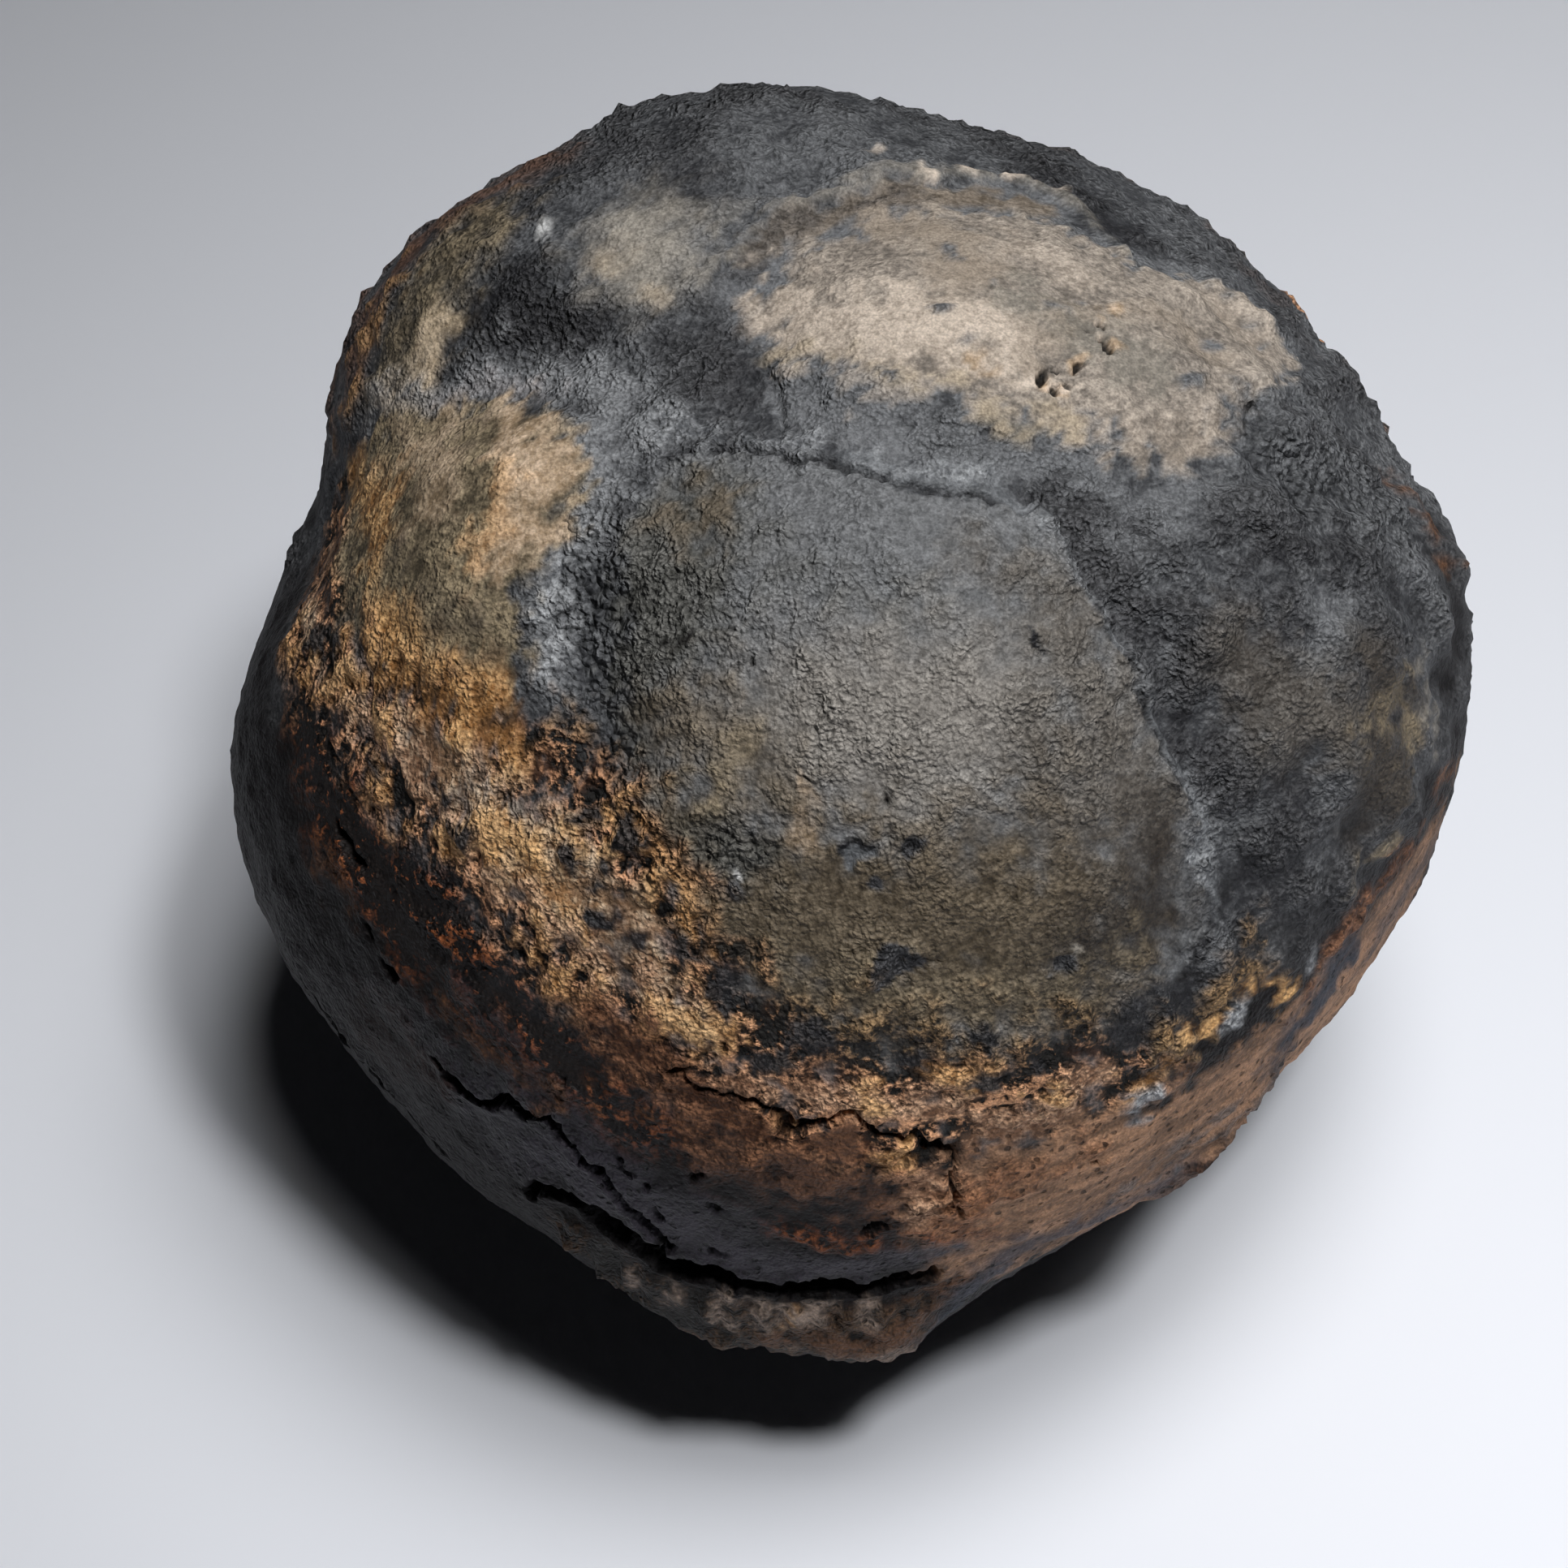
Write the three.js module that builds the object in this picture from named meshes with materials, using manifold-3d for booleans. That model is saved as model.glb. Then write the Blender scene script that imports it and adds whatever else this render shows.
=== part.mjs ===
// A crinoid lobolith: the hollow, chambered root bulb of a sea lily, turned to stone as one piece.
// Millimetres, +Z up. The stone rests on z = 0 and its bounding box is centred on the Z axis.
// A place on the bulb is given as a bearing and a rise, in degrees, seen from the bulb's centre:
// bearing 0 is the front, towards -Y, and grows towards +X, and rise is the angle above the girth.

import * as THREE from "three";
import { mergeVertices } from "three/addons/utils/BufferGeometryUtils.js";
import Module from "manifold-3d";

// ---- Driving dimensions ----

const HALF_WIDTH = 60;
const HALF_DEPTH = 60.5;
const HALF_HEIGHT = 54; // of the plain body, before the lobes swell it
const GIRTH_HEIGHT = 46; // from the resting spot up to the widest girth
const UNDERSIDE_RADIUS = 76; // of the shallow bowl that closes the underside
const UNDERSIDE_DEPTH = 49; // from the girth down to the bottom of that bowl, before the flat is cut
const FACETS = 17; // cuts along each edge of the starting icosahedron
const LOBE_BLEND = 2.5; // how softly neighbouring lobes run into each other
const SAMPLE_STEP = 2; // degrees between the samples along a crease or a rim

// Each chamber of the bulb bulges out as a ball sunk part way into the body:
// reach is from the body's centre to the ball's crown, spread is the half-angle that it covers.
const LOBES = [
  { name: "front dome", bearing: 6, rise: 45, reach: 62, spread: 34 },
  { name: "crown lobe", bearing: 74, rise: 76, reach: 58, spread: 30 },
  { name: "crown lobe, right end", bearing: 92, rise: 56, reach: 59, spread: 24 },
  { name: "upper left lobe", bearing: -122, rise: 58, reach: 59, spread: 25 },
  { name: "far left lobe", bearing: -120, rise: 40, reach: 65.8, spread: 27 },
  { name: "back lobe", bearing: -152, rise: 40, reach: 65, spread: 34 },
  { name: "right lobe", bearing: 72, rise: 34, reach: 63, spread: 34 },
  { name: "left lobe", bearing: -64, rise: 44, reach: 61, spread: 26 },
  { name: "lower left lobe", bearing: -75, rise: 3, reach: 63.6, spread: 27 },
  { name: "lower front lobe", bearing: -16, rise: 0, reach: 62.5, spread: 40 },
  { name: "lower back lobe", bearing: 160, rise: 4, reach: 62.5, spread: 34 },
];

// Flattened places, pressed in by depth and fading out over their spread.
const FLATS = [
  { name: "lower right side", bearing: 44, rise: -23, depth: 5.4, spread: 30 },
  { name: "left notch", bearing: -92, rise: 22, depth: 3.6, spread: 10 },
  { name: "right girth", bearing: 62, rise: -2, depth: 1, spread: 14 },
  { name: "right shoulder", bearing: 86, rise: 38, depth: 1.6, spread: 10 },
];

// Valleys between chambers: each follows its path of [bearing, rise] points.
const CREASES = [
  { name: "above the dome", depth: 1.6, width: 5, path: [[-52, 68], [-30, 73], [0, 72], [38, 65]] },
  { name: "right of the dome", depth: 1.4, width: 6, path: [[38, 65], [37, 52], [38, 38], [37, 26]] },
  { name: "left of the dome", depth: 2, width: 7, path: [[-54, 68], [-54, 60], [-44, 50], [-34, 42]] },
  { name: "above the left lobe", depth: 2, width: 6, path: [[-100, 38], [-92, 50], [-86, 62], [-62, 68]] },
  { name: "left of the crown", depth: 2.2, width: 6, path: [[-52, 72], [-70, 76], [-130, 76], [-165, 70]] },
  { name: "right of the crown lobe", depth: 1.4, width: 6, path: [[42, 62], [62, 55], [78, 46]] },
  { name: "down the back", depth: 2, width: 7, path: [[178, 34], [176, 10], [170, -20]] },
  { name: "down the right side", depth: 1.8, width: 7, path: [[112, 22], [114, 4], [106, -26]] },
];

// Scraps of the bulb's broken wall that stand out from its sides.
const RIMS = [
  { name: "front rim", height: 4, width: 7, path: [[-15, -19], [-6, -22]] },
  { name: "front rim, right end", height: 5, width: 7, path: [[-4, -22], [2, -22]] },
  { name: "lower right rim", height: 1.5, width: 4, path: [[31, -14], [40, -9]] },
  { name: "right rim", height: 1.2, width: 4, path: [[86, 18], [90, 28]] },
];

// ---- Helpers ----

const radians = THREE.MathUtils.degToRad;

function directionAt(bearing, rise) {
  const b = radians(bearing);
  const r = radians(rise);
  return new THREE.Vector3(Math.sin(b) * Math.cos(r), -Math.cos(b) * Math.cos(r), Math.sin(r));
}

function softMaximum(a, b, blend) {
  const share = THREE.MathUtils.clamp(0.5 + (a - b) / (2 * blend), 0, 1);
  return THREE.MathUtils.lerp(b, a, share) + blend * share * (1 - share);
}

function softMinimum(a, b, blend) {
  return -softMaximum(-a, -b, blend);
}

// ---- The plain body and its lobes ----

function bodyDistance({ x, y, z }) {
  return 1 / Math.hypot(x / HALF_WIDTH, y / HALF_DEPTH, z / HALF_HEIGHT);
}

// A lobe's ball passes through the crown point and meets the body at its spread.
function ballOf({ bearing, rise, reach, spread }) {
  const axis = directionAt(bearing, rise);
  const edge = bodyDistance(axis);
  const halfChord = edge * Math.sin(radians(spread));
  const capHeight = reach - edge * Math.cos(radians(spread));
  const radius = (halfChord ** 2 + capHeight ** 2) / (2 * capHeight);
  return { centre: axis.multiplyScalar(reach - radius), radius };
}

// Distance from the body's centre to where a ray leaves the ball, or 0 where it misses.
function exitDistance(ball, direction) {
  const along = ball.centre.dot(direction);
  const inside = along ** 2 - ball.centre.lengthSq() + ball.radius ** 2;
  return inside > 0 ? along + Math.sqrt(inside) : 0;
}

const BALLS = LOBES.map(ballOf);

const UNDERSIDE_BOWL = {
  centre: new THREE.Vector3(0, 0, UNDERSIDE_RADIUS - UNDERSIDE_DEPTH),
  radius: UNDERSIDE_RADIUS,
};

// ---- Flats, creases and rims ----

function flatDepth({ bearing, rise, depth, spread }, direction) {
  const away = directionAt(bearing, rise).angleTo(direction) / radians(spread);
  return depth * Math.exp(-(away ** 2));
}

// The path of a crease or a rim as closely spaced directions.
function samplesAlong(path) {
  const corners = path.map(([bearing, rise]) => directionAt(bearing, rise));
  const samples = [];
  for (let i = 1; i < corners.length; i++) {
    const [from, to] = [corners[i - 1], corners[i]];
    const steps = Math.ceil(from.angleTo(to) / radians(SAMPLE_STEP));
    for (let j = 0; j <= steps; j++) {
      samples.push(from.clone().lerp(to, j / steps).normalize());
    }
  }
  return samples;
}

// 1 on the path, fading out over the width on both sides of it.
function nearness(samples, width, direction) {
  const nearest = Math.min(...samples.map((sample) => sample.angleTo(direction)));
  return Math.exp(-((nearest / radians(width)) ** 2));
}

const sampled = (line) => ({ ...line, samples: samplesAlong(line.path) });
const SAMPLED_CREASES = CREASES.map(sampled);
const SAMPLED_RIMS = RIMS.map(sampled);

// How deep the deepest crease is here.
function creaseDepth(direction) {
  const depths = SAMPLED_CREASES.map(({ depth, width, samples }) => {
    return depth * nearness(samples, width, direction);
  });
  return Math.max(...depths);
}

// How far the highest rim stands out here.
function rimHeight(direction) {
  const heights = SAMPLED_RIMS.map(({ height, width, samples }) => {
    return height * nearness(samples, width, direction);
  });
  return Math.max(...heights);
}

// ---- The bulb ----

function surfaceDistance(direction) {
  let distance = bodyDistance(direction);
  for (const ball of BALLS) {
    distance = softMaximum(distance, exitDistance(ball, direction), LOBE_BLEND);
  }
  distance = softMinimum(distance, exitDistance(UNDERSIDE_BOWL, direction), LOBE_BLEND);
  for (const flat of FLATS) {
    distance -= flatDepth(flat, direction);
  }
  return distance - creaseDepth(direction) + rimHeight(direction);
}

function positionsOnly(geometry) {
  geometry.deleteAttribute("normal");
  geometry.deleteAttribute("uv");
  return mergeVertices(geometry);
}

function bulbGeometry() {
  const bulb = positionsOnly(new THREE.IcosahedronGeometry(1, FACETS));
  const position = bulb.getAttribute("position");
  const point = new THREE.Vector3();
  for (let i = 0; i < position.count; i++) {
    point.fromBufferAttribute(position, i).normalize();
    point.multiplyScalar(surfaceDistance(point));
    position.setXYZ(i, point.x, point.y, point.z + GIRTH_HEIGHT);
  }
  return bulb;
}

// ---- Cutting the resting spot ----

const wasm = await Module();
wasm.setup();

function solidOf(geometry) {
  const triVerts = new Uint32Array(geometry.index.array);
  const vertProperties = new Float32Array(geometry.getAttribute("position").array);
  return new wasm.Manifold(new wasm.Mesh({ numProp: 3, vertProperties, triVerts }));
}

function geometryOf(solid) {
  const { vertProperties, triVerts } = solid.getMesh();
  const geometry = new THREE.BufferGeometry();
  geometry.setAttribute("position", new THREE.BufferAttribute(vertProperties, 3));
  geometry.setIndex(new THREE.BufferAttribute(triVerts, 1));
  return geometry;
}

// Everything below the floor, which the resting spot is cut with.
function floorBlock() {
  const side = 4 * HALF_WIDTH;
  return positionsOnly(new THREE.BoxGeometry(side, side, side)).translate(0, 0, -side / 2);
}

function centreOverOrigin(geometry) {
  geometry.computeBoundingBox();
  const middle = geometry.boundingBox.getCenter(new THREE.Vector3());
  return geometry.translate(-middle.x, -middle.y, 0);
}

const stone = solidOf(bulbGeometry()).subtract(solidOf(floorBlock()));
const lobolithGeometry = centreOverOrigin(geometryOf(stone));
lobolithGeometry.computeVertexNormals();

// ---- The part ----

const fossilStone = new THREE.MeshStandardMaterial({ color: "#6e675c", roughness: 0.82, metalness: 0 });

const lobolith = new THREE.Mesh(lobolithGeometry, fossilStone);
lobolith.name = "lobolith";

const fossil = new THREE.Group();
fossil.add(lobolith);

export default fossil;
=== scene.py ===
# %% [markdown]
# # A sea lily's root bulb, turned to stone
# This lesson builds the looks of a crinoid lobolith: the chambered root bulb of a sea lily, now a
# fossil about the size of a large grapefruit. It formed as one piece, so it is one mesh with one
# material. The work goes in a sculptor's order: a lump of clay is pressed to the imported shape, then
# seams, cracks and pits are cut in, then the coats of mineral are painted on, and last comes the
# fine grain.

import math

import bmesh
import bpy
import numpy as np
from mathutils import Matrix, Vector, noise
from mathutils.bvhtree import BVHTree


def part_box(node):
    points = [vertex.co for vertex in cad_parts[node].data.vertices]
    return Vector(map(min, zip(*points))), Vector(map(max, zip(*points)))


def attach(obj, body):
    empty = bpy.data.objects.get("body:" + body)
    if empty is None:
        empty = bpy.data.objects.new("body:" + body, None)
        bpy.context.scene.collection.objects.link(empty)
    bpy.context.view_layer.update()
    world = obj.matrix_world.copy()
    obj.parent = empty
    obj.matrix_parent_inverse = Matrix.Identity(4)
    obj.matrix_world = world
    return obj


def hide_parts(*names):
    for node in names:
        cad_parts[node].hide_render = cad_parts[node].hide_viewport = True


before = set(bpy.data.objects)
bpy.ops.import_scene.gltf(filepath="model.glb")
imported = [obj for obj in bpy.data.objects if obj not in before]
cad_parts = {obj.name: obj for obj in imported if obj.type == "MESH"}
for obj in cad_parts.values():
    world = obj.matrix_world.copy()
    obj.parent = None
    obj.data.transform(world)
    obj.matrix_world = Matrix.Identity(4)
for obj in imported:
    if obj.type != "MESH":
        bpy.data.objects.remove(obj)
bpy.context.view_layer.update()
low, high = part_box("lobolith")
middle = (low + high) / 2
MM = 0.001
print("the packed stone measures", [round(side / MM, 1) for side in high - low], "mm")

# %% [markdown]
# ## The view
# A 100 mm lens about 44 cm away, looking down at 50 degrees, keeps the bulb's proportions calm. The
# aim is a little below and to the left of the bulb's heart, which leaves room for its shadow.

# %% Camera
GIRTH_HEIGHT = 46 * MM
VIEW_RISE = math.radians(50)
VIEW_DISTANCE = 437 * MM
AIM_SHIFT = Vector((-6.4, 0, 1)) * MM
AIM_DROP = 7 * MM

heart = Vector((middle.x, middle.y, low.z + GIRTH_HEIGHT))
to_viewer = Vector((0, -math.cos(VIEW_RISE), math.sin(VIEW_RISE)))
picture_up = Vector((0, math.sin(VIEW_RISE), math.cos(VIEW_RISE)))
aim = heart + AIM_SHIFT - picture_up * AIM_DROP

lens = bpy.data.cameras.new("lens")
lens.lens = 100
lens.sensor_width = 36
camera = bpy.data.objects.new("camera", lens)
camera.location = aim + to_viewer * VIEW_DISTANCE
camera.rotation_euler = to_viewer.to_track_quat("Z", "Y").to_euler()
bpy.context.scene.collection.objects.link(camera)
bpy.context.scene.camera = camera
bpy.context.scene.view_settings.view_transform = "Standard"
print("the camera stands at", [round(c / MM) for c in camera.location], "mm")

# %% [markdown]
# ## Light and floor
# Two round soft boxes hang overhead, a little to the front and right. The small far one gives the
# relief its crisp shade and the shadow its hard heart, and the wide one gives the shadow its faint
# halo. A narrow spread lets their light fade towards the back left.

# %% Lamps


def soft_box(name, place, size, power, spread, floor_spot):
    """A round lamp aimed at a spot on the floor; metres, watts and degrees."""
    light = bpy.data.lights.new(name, "AREA")
    light.shape = "DISK"
    light.size = size
    light.energy = power
    light.spread = math.radians(spread)
    lamp = bpy.data.objects.new(name, light)
    lamp.location = place
    away = lamp.location - Vector((*floor_spot, 0))
    lamp.rotation_euler = away.to_track_quat("Z", "Y").to_euler()
    bpy.context.scene.collection.objects.link(lamp)
    print(name, "hangs", round(lamp.location.length, 2), "m away")


soft_box(
    "small soft box", (0.28, -0.32, 1.15),
    size=0.17, power=0.29, spread=40, floor_spot=(0.07, -0.07),
)
soft_box(
    "wide soft box", (0.3, -0.06, 1),
    size=0.72, power=1.14, spread=48, floor_spot=(0.17, -0.13),
)

# %% [markdown]
# The room itself is almost dark: what reaches the bulb's underside has bounced off the floor. That
# is a pale, cool and matt sheet, for which a grid with one face is enough.

# %% Room and floor
FLOOR_HALF_SIDE = 3

room = bpy.data.worlds.new("room")
room.use_nodes = True
room_light = room.node_tree.nodes["Background"].inputs
room_light["Color"].default_value = (0.9, 0.93, 1, 1)
room_light["Strength"].default_value = 0.006
bpy.context.scene.world = room

sheet = bmesh.new()
bmesh.ops.create_grid(sheet, x_segments=1, y_segments=1, size=FLOOR_HALF_SIDE)
floor_mesh = bpy.data.meshes.new("floor")
sheet.to_mesh(floor_mesh)
sheet.free()
floor_paint = bpy.data.materials.new("pale floor")
floor_paint.use_nodes = True
floor_finish = floor_paint.node_tree.nodes["Principled BSDF"].inputs
floor_finish["Base Color"].default_value = (0.785, 0.805, 0.86, 1)
floor_finish["Roughness"].default_value = 0.7
floor_mesh.materials.append(floor_paint)
floor = bpy.data.objects.new("floor", floor_mesh)
bpy.context.scene.collection.objects.link(floor)
print("a floor of", len(floor_mesh.polygons), "face")

# %% [markdown]
# ## Clay for the stone
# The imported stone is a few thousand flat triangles, too coarse to sculpt. A sphere from a cube has
# even squares and no pole, so a finely cut cube is blown up into a ball and each point is pressed
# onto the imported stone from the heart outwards. Before that the points are crowded towards the side
# that is looked at most, in the way a map projection crowds them, so that the squares there are the
# smallest.

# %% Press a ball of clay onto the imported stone
CUTS = 109  # across each side of the cube
CROWDING = 1.3  # how much closer together the points of the near side stand
WELD = 0.001 * MM
NEXT_TO_NOTHING = 1e-6

packed = bmesh.new()
packed.from_mesh(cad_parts["lobolith"].data)
bmesh.ops.remove_doubles(packed, verts=packed.verts, dist=WELD)
packed_skin = BVHTree.FromBMesh(packed)
packed.free()

clay = bmesh.new()
bmesh.ops.create_cube(clay, size=2)
bmesh.ops.subdivide_edges(clay, edges=clay.edges[:], cuts=CUTS, use_grid_fill=True)


def crowded(ray):
    """The ray, turned towards the viewer so that points gather on the near side."""
    ahead = ray.dot(to_viewer)
    aside = ray - to_viewer * ahead
    if aside.length < NEXT_TO_NOTHING:
        return ray
    spread = (1 - ahead) / (1 + ahead) / CROWDING**2
    ahead = (1 - spread) / (1 + spread)
    return to_viewer * ahead + aside.normalized() * math.sqrt(1 - ahead**2)


for point in clay.verts:
    even = Vector(math.tan(side * math.pi / 4) for side in point.co)
    point.co = packed_skin.ray_cast(heart, crowded(even.normalized()))[0]
print("clay of", len(clay.faces), "squares")

# %% [markdown]
# The pressed clay still shows the flat triangles. Smoothing moves each point to the middle of its
# neighbours, and some forty rounds melt facets of 4 mm. The resting spot is then pressed flat
# again.

# %% Melt the facets
MELTING_ROUNDS = 45

for _ in range(MELTING_ROUNDS):
    bmesh.ops.smooth_vert(
        clay, verts=clay.verts, factor=0.5, use_axis_x=True, use_axis_y=True, use_axis_z=True
    )
for point in clay.verts:
    point.co.z = max(point.co.z, low.z)
print("clay height", round(max(point.co.z for point in clay.verts) / MM, 1), "mm")

# %% [markdown]
# ## Places on the bulb
# Every mark has a place as a globe has: a bearing, 0 at the front and growing to the right, and a
# rise above the girth. A stroke is a line of such places, each with its half-width in millimetres,
# as a brush leaves it. A region is a closed outline. Both answer the same question for each point
# of the skin: how many millimetres is it inside the mark?

# %% Strokes and regions
SKIN_RADIUS = 61  # mm from the heart to the skin, on average
FAR_OUTSIDE = -1000.0
LEVEL_EDGE_RISE = 1e-9  # stands in for 0, which can't be divided by
LEANING = [0.1, -1, 0.3]  # any arrow that points at no outline's hub


def toward(bearing, rise):
    """The arrow from the heart to a place."""
    bearing, rise = math.radians(bearing), math.radians(rise)
    return np.array(
        [math.sin(bearing) * math.cos(rise), -math.cos(bearing) * math.cos(rise), math.sin(rise)]
    )


def unit(arrows):
    """The same arrows, each cut to a length of 1."""
    return arrows / np.linalg.norm(arrows, axis=1)[:, None]


def stroke(places, rays):
    """How many mm each ray is inside a stroke of (bearing, rise, half-width) places."""
    spots = [toward(bearing, rise) for bearing, rise, _ in places]
    widths = [width for *_, width in places]
    if len(places) == 1:
        return widths[0] - SKIN_RADIUS * np.linalg.norm(rays - spots[0], axis=1)
    best = np.full(len(rays), FAR_OUTSIDE)
    for start, end, width, next_width in zip(spots, spots[1:], widths, widths[1:]):
        span = end - start
        share = np.clip((rays - start) @ span / (span @ span), 0, 1)
        nearest = unit(start + share[:, None] * span)
        gap = SKIN_RADIUS * np.linalg.norm(rays - nearest, axis=1)
        best = np.maximum(best, width + share * (next_width - width) - gap)
    return best


def region(outline, rays):
    """How many mm each ray is inside a closed outline of (bearing, rise) places."""
    corners = np.array([toward(*place) for place in outline])
    hub = unit(corners.mean(axis=0)[None])[0]
    across = unit(np.cross(LEANING, hub)[None])[0]
    along = np.cross(hub, across)
    ahead = rays @ hub
    flat = SKIN_RADIUS * np.stack([rays @ across, rays @ along], 1)
    edge = SKIN_RADIUS * np.stack([corners @ across, corners @ along], 1)
    odd = np.zeros(len(rays), bool)
    for a, b in zip(edge, np.roll(edge, -1, axis=0)):
        crosses = (a[1] > flat[:, 1]) != (b[1] > flat[:, 1])
        rise = b[1] - a[1] if b[1] != a[1] else LEVEL_EDGE_RISE
        odd ^= crosses & (flat[:, 0] < a[0] + (flat[:, 1] - a[1]) * (b[0] - a[0]) / rise)
    closed = [(*place, 0) for place in outline + outline[:1]]
    edge_gap = -stroke(closed, rays)
    return np.where(odd & (ahead > 0), edge_gap, -edge_gap)


def blend(value, start, end):
    """0 before start, 1 after end, and a soft slope between."""
    share = np.clip((value - start) / (end - start), 0, 1)
    return share * share * (3 - 2 * share)


print("front of the bulb", toward(0, 0).round(2), "and its crown", toward(0, 90).round(2))

# %% [markdown]
# ## Cracks
# The bulb has a few true cracks and one long gap above a ledge of broken wall. Two thin seams run
# round the front dome, and pits and small chips are scattered over it. They could be cut where each
# is needed, but they are listed first, because the clay has to be made ready for all of them.

# %% Where the cracks and seams run
LEDGE_GAP = [
    (-29, -6, 0.3), (-27, -3.6, 0.8), (-24.5, -3.1, 1.1), (-22.5, -4.2, 1.4), (-20, -6.6, 1.6),
    (-17.5, -8.2, 1.4), (-14, -9.1, 1.2), (-10, -9.5, 1), (-5, -9.8, 0.9), (0, -9.9, 0.8),
    (4, -9.8, 0.5), (7.5, -9.2, 0.2),
]
LEFT_CRACK = [
    (-40.5, 4.2, 0.3), (-39, 3.9, 0.9), (-37, 3.5, 1), (-33.5, 4.3, 0.6), (-31.5, 5.3, 0.35),
    (-28.5, 6.3, 0.45), (-26.4, 5.1, 0.5), (-24, 3.3, 0.55), (-22.5, 2, 0.5), (-20.4, -1, 0.45),
    (-18.5, -2.2, 0.4), (-17.3, -5, 0.5),
]
FRONT_CRACK = [
    (-17, 16.2, 0.1), (-15, 15.5, 0.2), (-12, 15.1, 0.1), (-9, 14.9, 0.2), (-7.3, 14, 0.35),
    (-5.5, 13.2, 0.35), (-3.8, 13.4, 0.2), (-1.5, 13.3, 0.05), (0, 13.4, 0.2), (1.5, 12.5, 0.3),
    (3.3, 11.7, 0.2), (5, 11.4, 0.35), (6.6, 10.4, 0.45), (7.2, 9.2, 0.3), (7.6, 7, 0.25),
    (8, 4.8, 0.25), (8.3, 3, 0.2), (9.8, 0.4, 0.05),
]
LEFT_SPLITS = [
    [
        (-58.8, 19.4, 0.1), (-57.5, 18.9, 0.45), (-55.5, 18.3, 0.6), (-54, 17.9, 0.5),
        (-53, 17.7, 0.1),
    ],
    [(-51.4, 13.4, 0.1), (-50.4, 12.7, 0.25), (-49.5, 12, 0.1)],
    [(-47.2, 11.5, 0.1), (-46, 11.4, 0.4), (-44.8, 11.3, 0.1)],
    [(-60, -4, 0.2), (-57.5, -5.5, 0.8), (-55.5, -7, 0.3), (-52, -7.5, 0.2), (-49, -8, 0.5)],
    [(-48, -8.6, 0.4), (-46, -10.5, 0.8), (-43, -11.7, 0.9), (-40.5, -11.2, 0.3)],
]
SEAM_ABOVE = [
    (-53, 69, 0.1), (-45, 71.2, 0.25), (-33, 73, 0.25), (-21.7, 73.4, 0.3), (-9, 72.8, 0.25),
    (2.5, 71.2, 0.3), (11.6, 69.6, 0.25), (19, 68.3, 0.25), (27, 67, 0.3), (35, 64.9, 0.3),
    (39, 64.7, 0.2),
]
SEAM_RIGHT = [
    (39.2, 62, 0.15), (38.7, 58.5, 0.25), (37.6, 54.5, 0.3), (37, 51, 0.25), (36.9, 48, 0.25),
    (36.8, 44, 0.3), (37, 40.5, 0.25), (37.2, 37, 0.2), (36.8, 34, 0.15),
]
SLAB_EDGE = [(-71, 80.7, 0.1), (-51, 80, 0.4), (-36, 77.5, 0.4), (-25, 74.3, 0.2)]
PITS = [
    (-17.8, 3, 0.35), (-16.8, -0.9, 0.35), (-14, 5.6, 0.6), (-12.3, 1.8, 0.3), (-12, -5.4, 0.35),
    (-20, 5.5, 0.3), (-26.4, 10.8, 0.35), (-19.3, 4.5, 0.3), (1.3, 0, 0.9), (2.9, 0.2, 0.5),
    (21.3, 2.5, 0.5), (2.6, 7.8, 0.4), (5.5, 3.5, 0.35), (-13.5, 53.3, 0.35), (1.8, 42.5, 0.3),
    (68, 72, 1), (66, 69.6, 0.9), (77, 69, 0.8), (72, 70.6, 0.5), (70, 68.6, 0.4), (85, 67.5, 0.9),
    (91, 67.5, 0.8), (88, 69.3, 0.4),
]
CHIPS = [
    (5, 39.3, 1.1), (2.2, 36, 0.8), (18.5, 25.7, 1), (26, 53, 0.4), (-0.8, 38.6, 1.1),
]
STAR_CHIP = [(1.6, 27.6, 0.6), (3.2, 28.6, 1.4), (4.4, 28.4, 1.3), (6.6, 28, 0.5)]
CUTTINGS = [LEDGE_GAP, LEFT_CRACK, FRONT_CRACK, SEAM_ABOVE, SEAM_RIGHT, SLAB_EDGE] + LEFT_SPLITS
SMALL_MARKS = [[place] for place in PITS + CHIPS] + [STAR_CHIP]
print(len(CUTTINGS), "cracks and seams,", len(SMALL_MARKS), "pits and chips")

# %% [markdown]
# A crack 1 mm wide needs squares of about 0.3 mm, and the clay's are twice that. Halving every edge
# would make four times as many squares, and halving only those along the marks adds about a tenth.

# %% Cut the clay finer along them
NEAR_A_MARK = 1.5  # mm

points = np.array([point.co for point in clay.verts]) / MM
rays = unit(points - np.array(heart) / MM)
depths = [stroke(places, rays) for places in CUTTINGS + SMALL_MARKS]
near_mark = np.max(depths, axis=0) > -NEAR_A_MARK
fine_edges = [edge for edge in clay.edges if all(near_mark[point.index] for point in edge.verts)]
bmesh.ops.subdivide_edges(clay, edges=fine_edges, cuts=1, use_grid_fill=True)
print(len(fine_edges), "edges halved, now", len(clay.faces), "faces")

# %% [markdown]
# From here on the clay is a mesh whose points sit in one array of millimetres. Sculpting then is
# arithmetic: each tool adds to how far a point moves out along its own normal.

# %% Turn the clay into the stone's mesh
stone_mesh = bpy.data.meshes.new("lobolith_stone")
clay.to_mesh(stone_mesh)
clay.free()
stone_mesh.polygons.foreach_set("use_smooth", [True] * len(stone_mesh.polygons))
count = len(stone_mesh.vertices)
points = np.empty(count * 3, np.float32)
stone_mesh.vertices.foreach_get("co", points)
points = points.reshape(-1, 3).astype(float) / MM
normals = np.empty(count * 3, np.float32)
stone_mesh.vertex_normals.foreach_get("vector", normals)
normals = normals.reshape(-1, 3).astype(float)
print(count, "points to sculpt")

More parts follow.
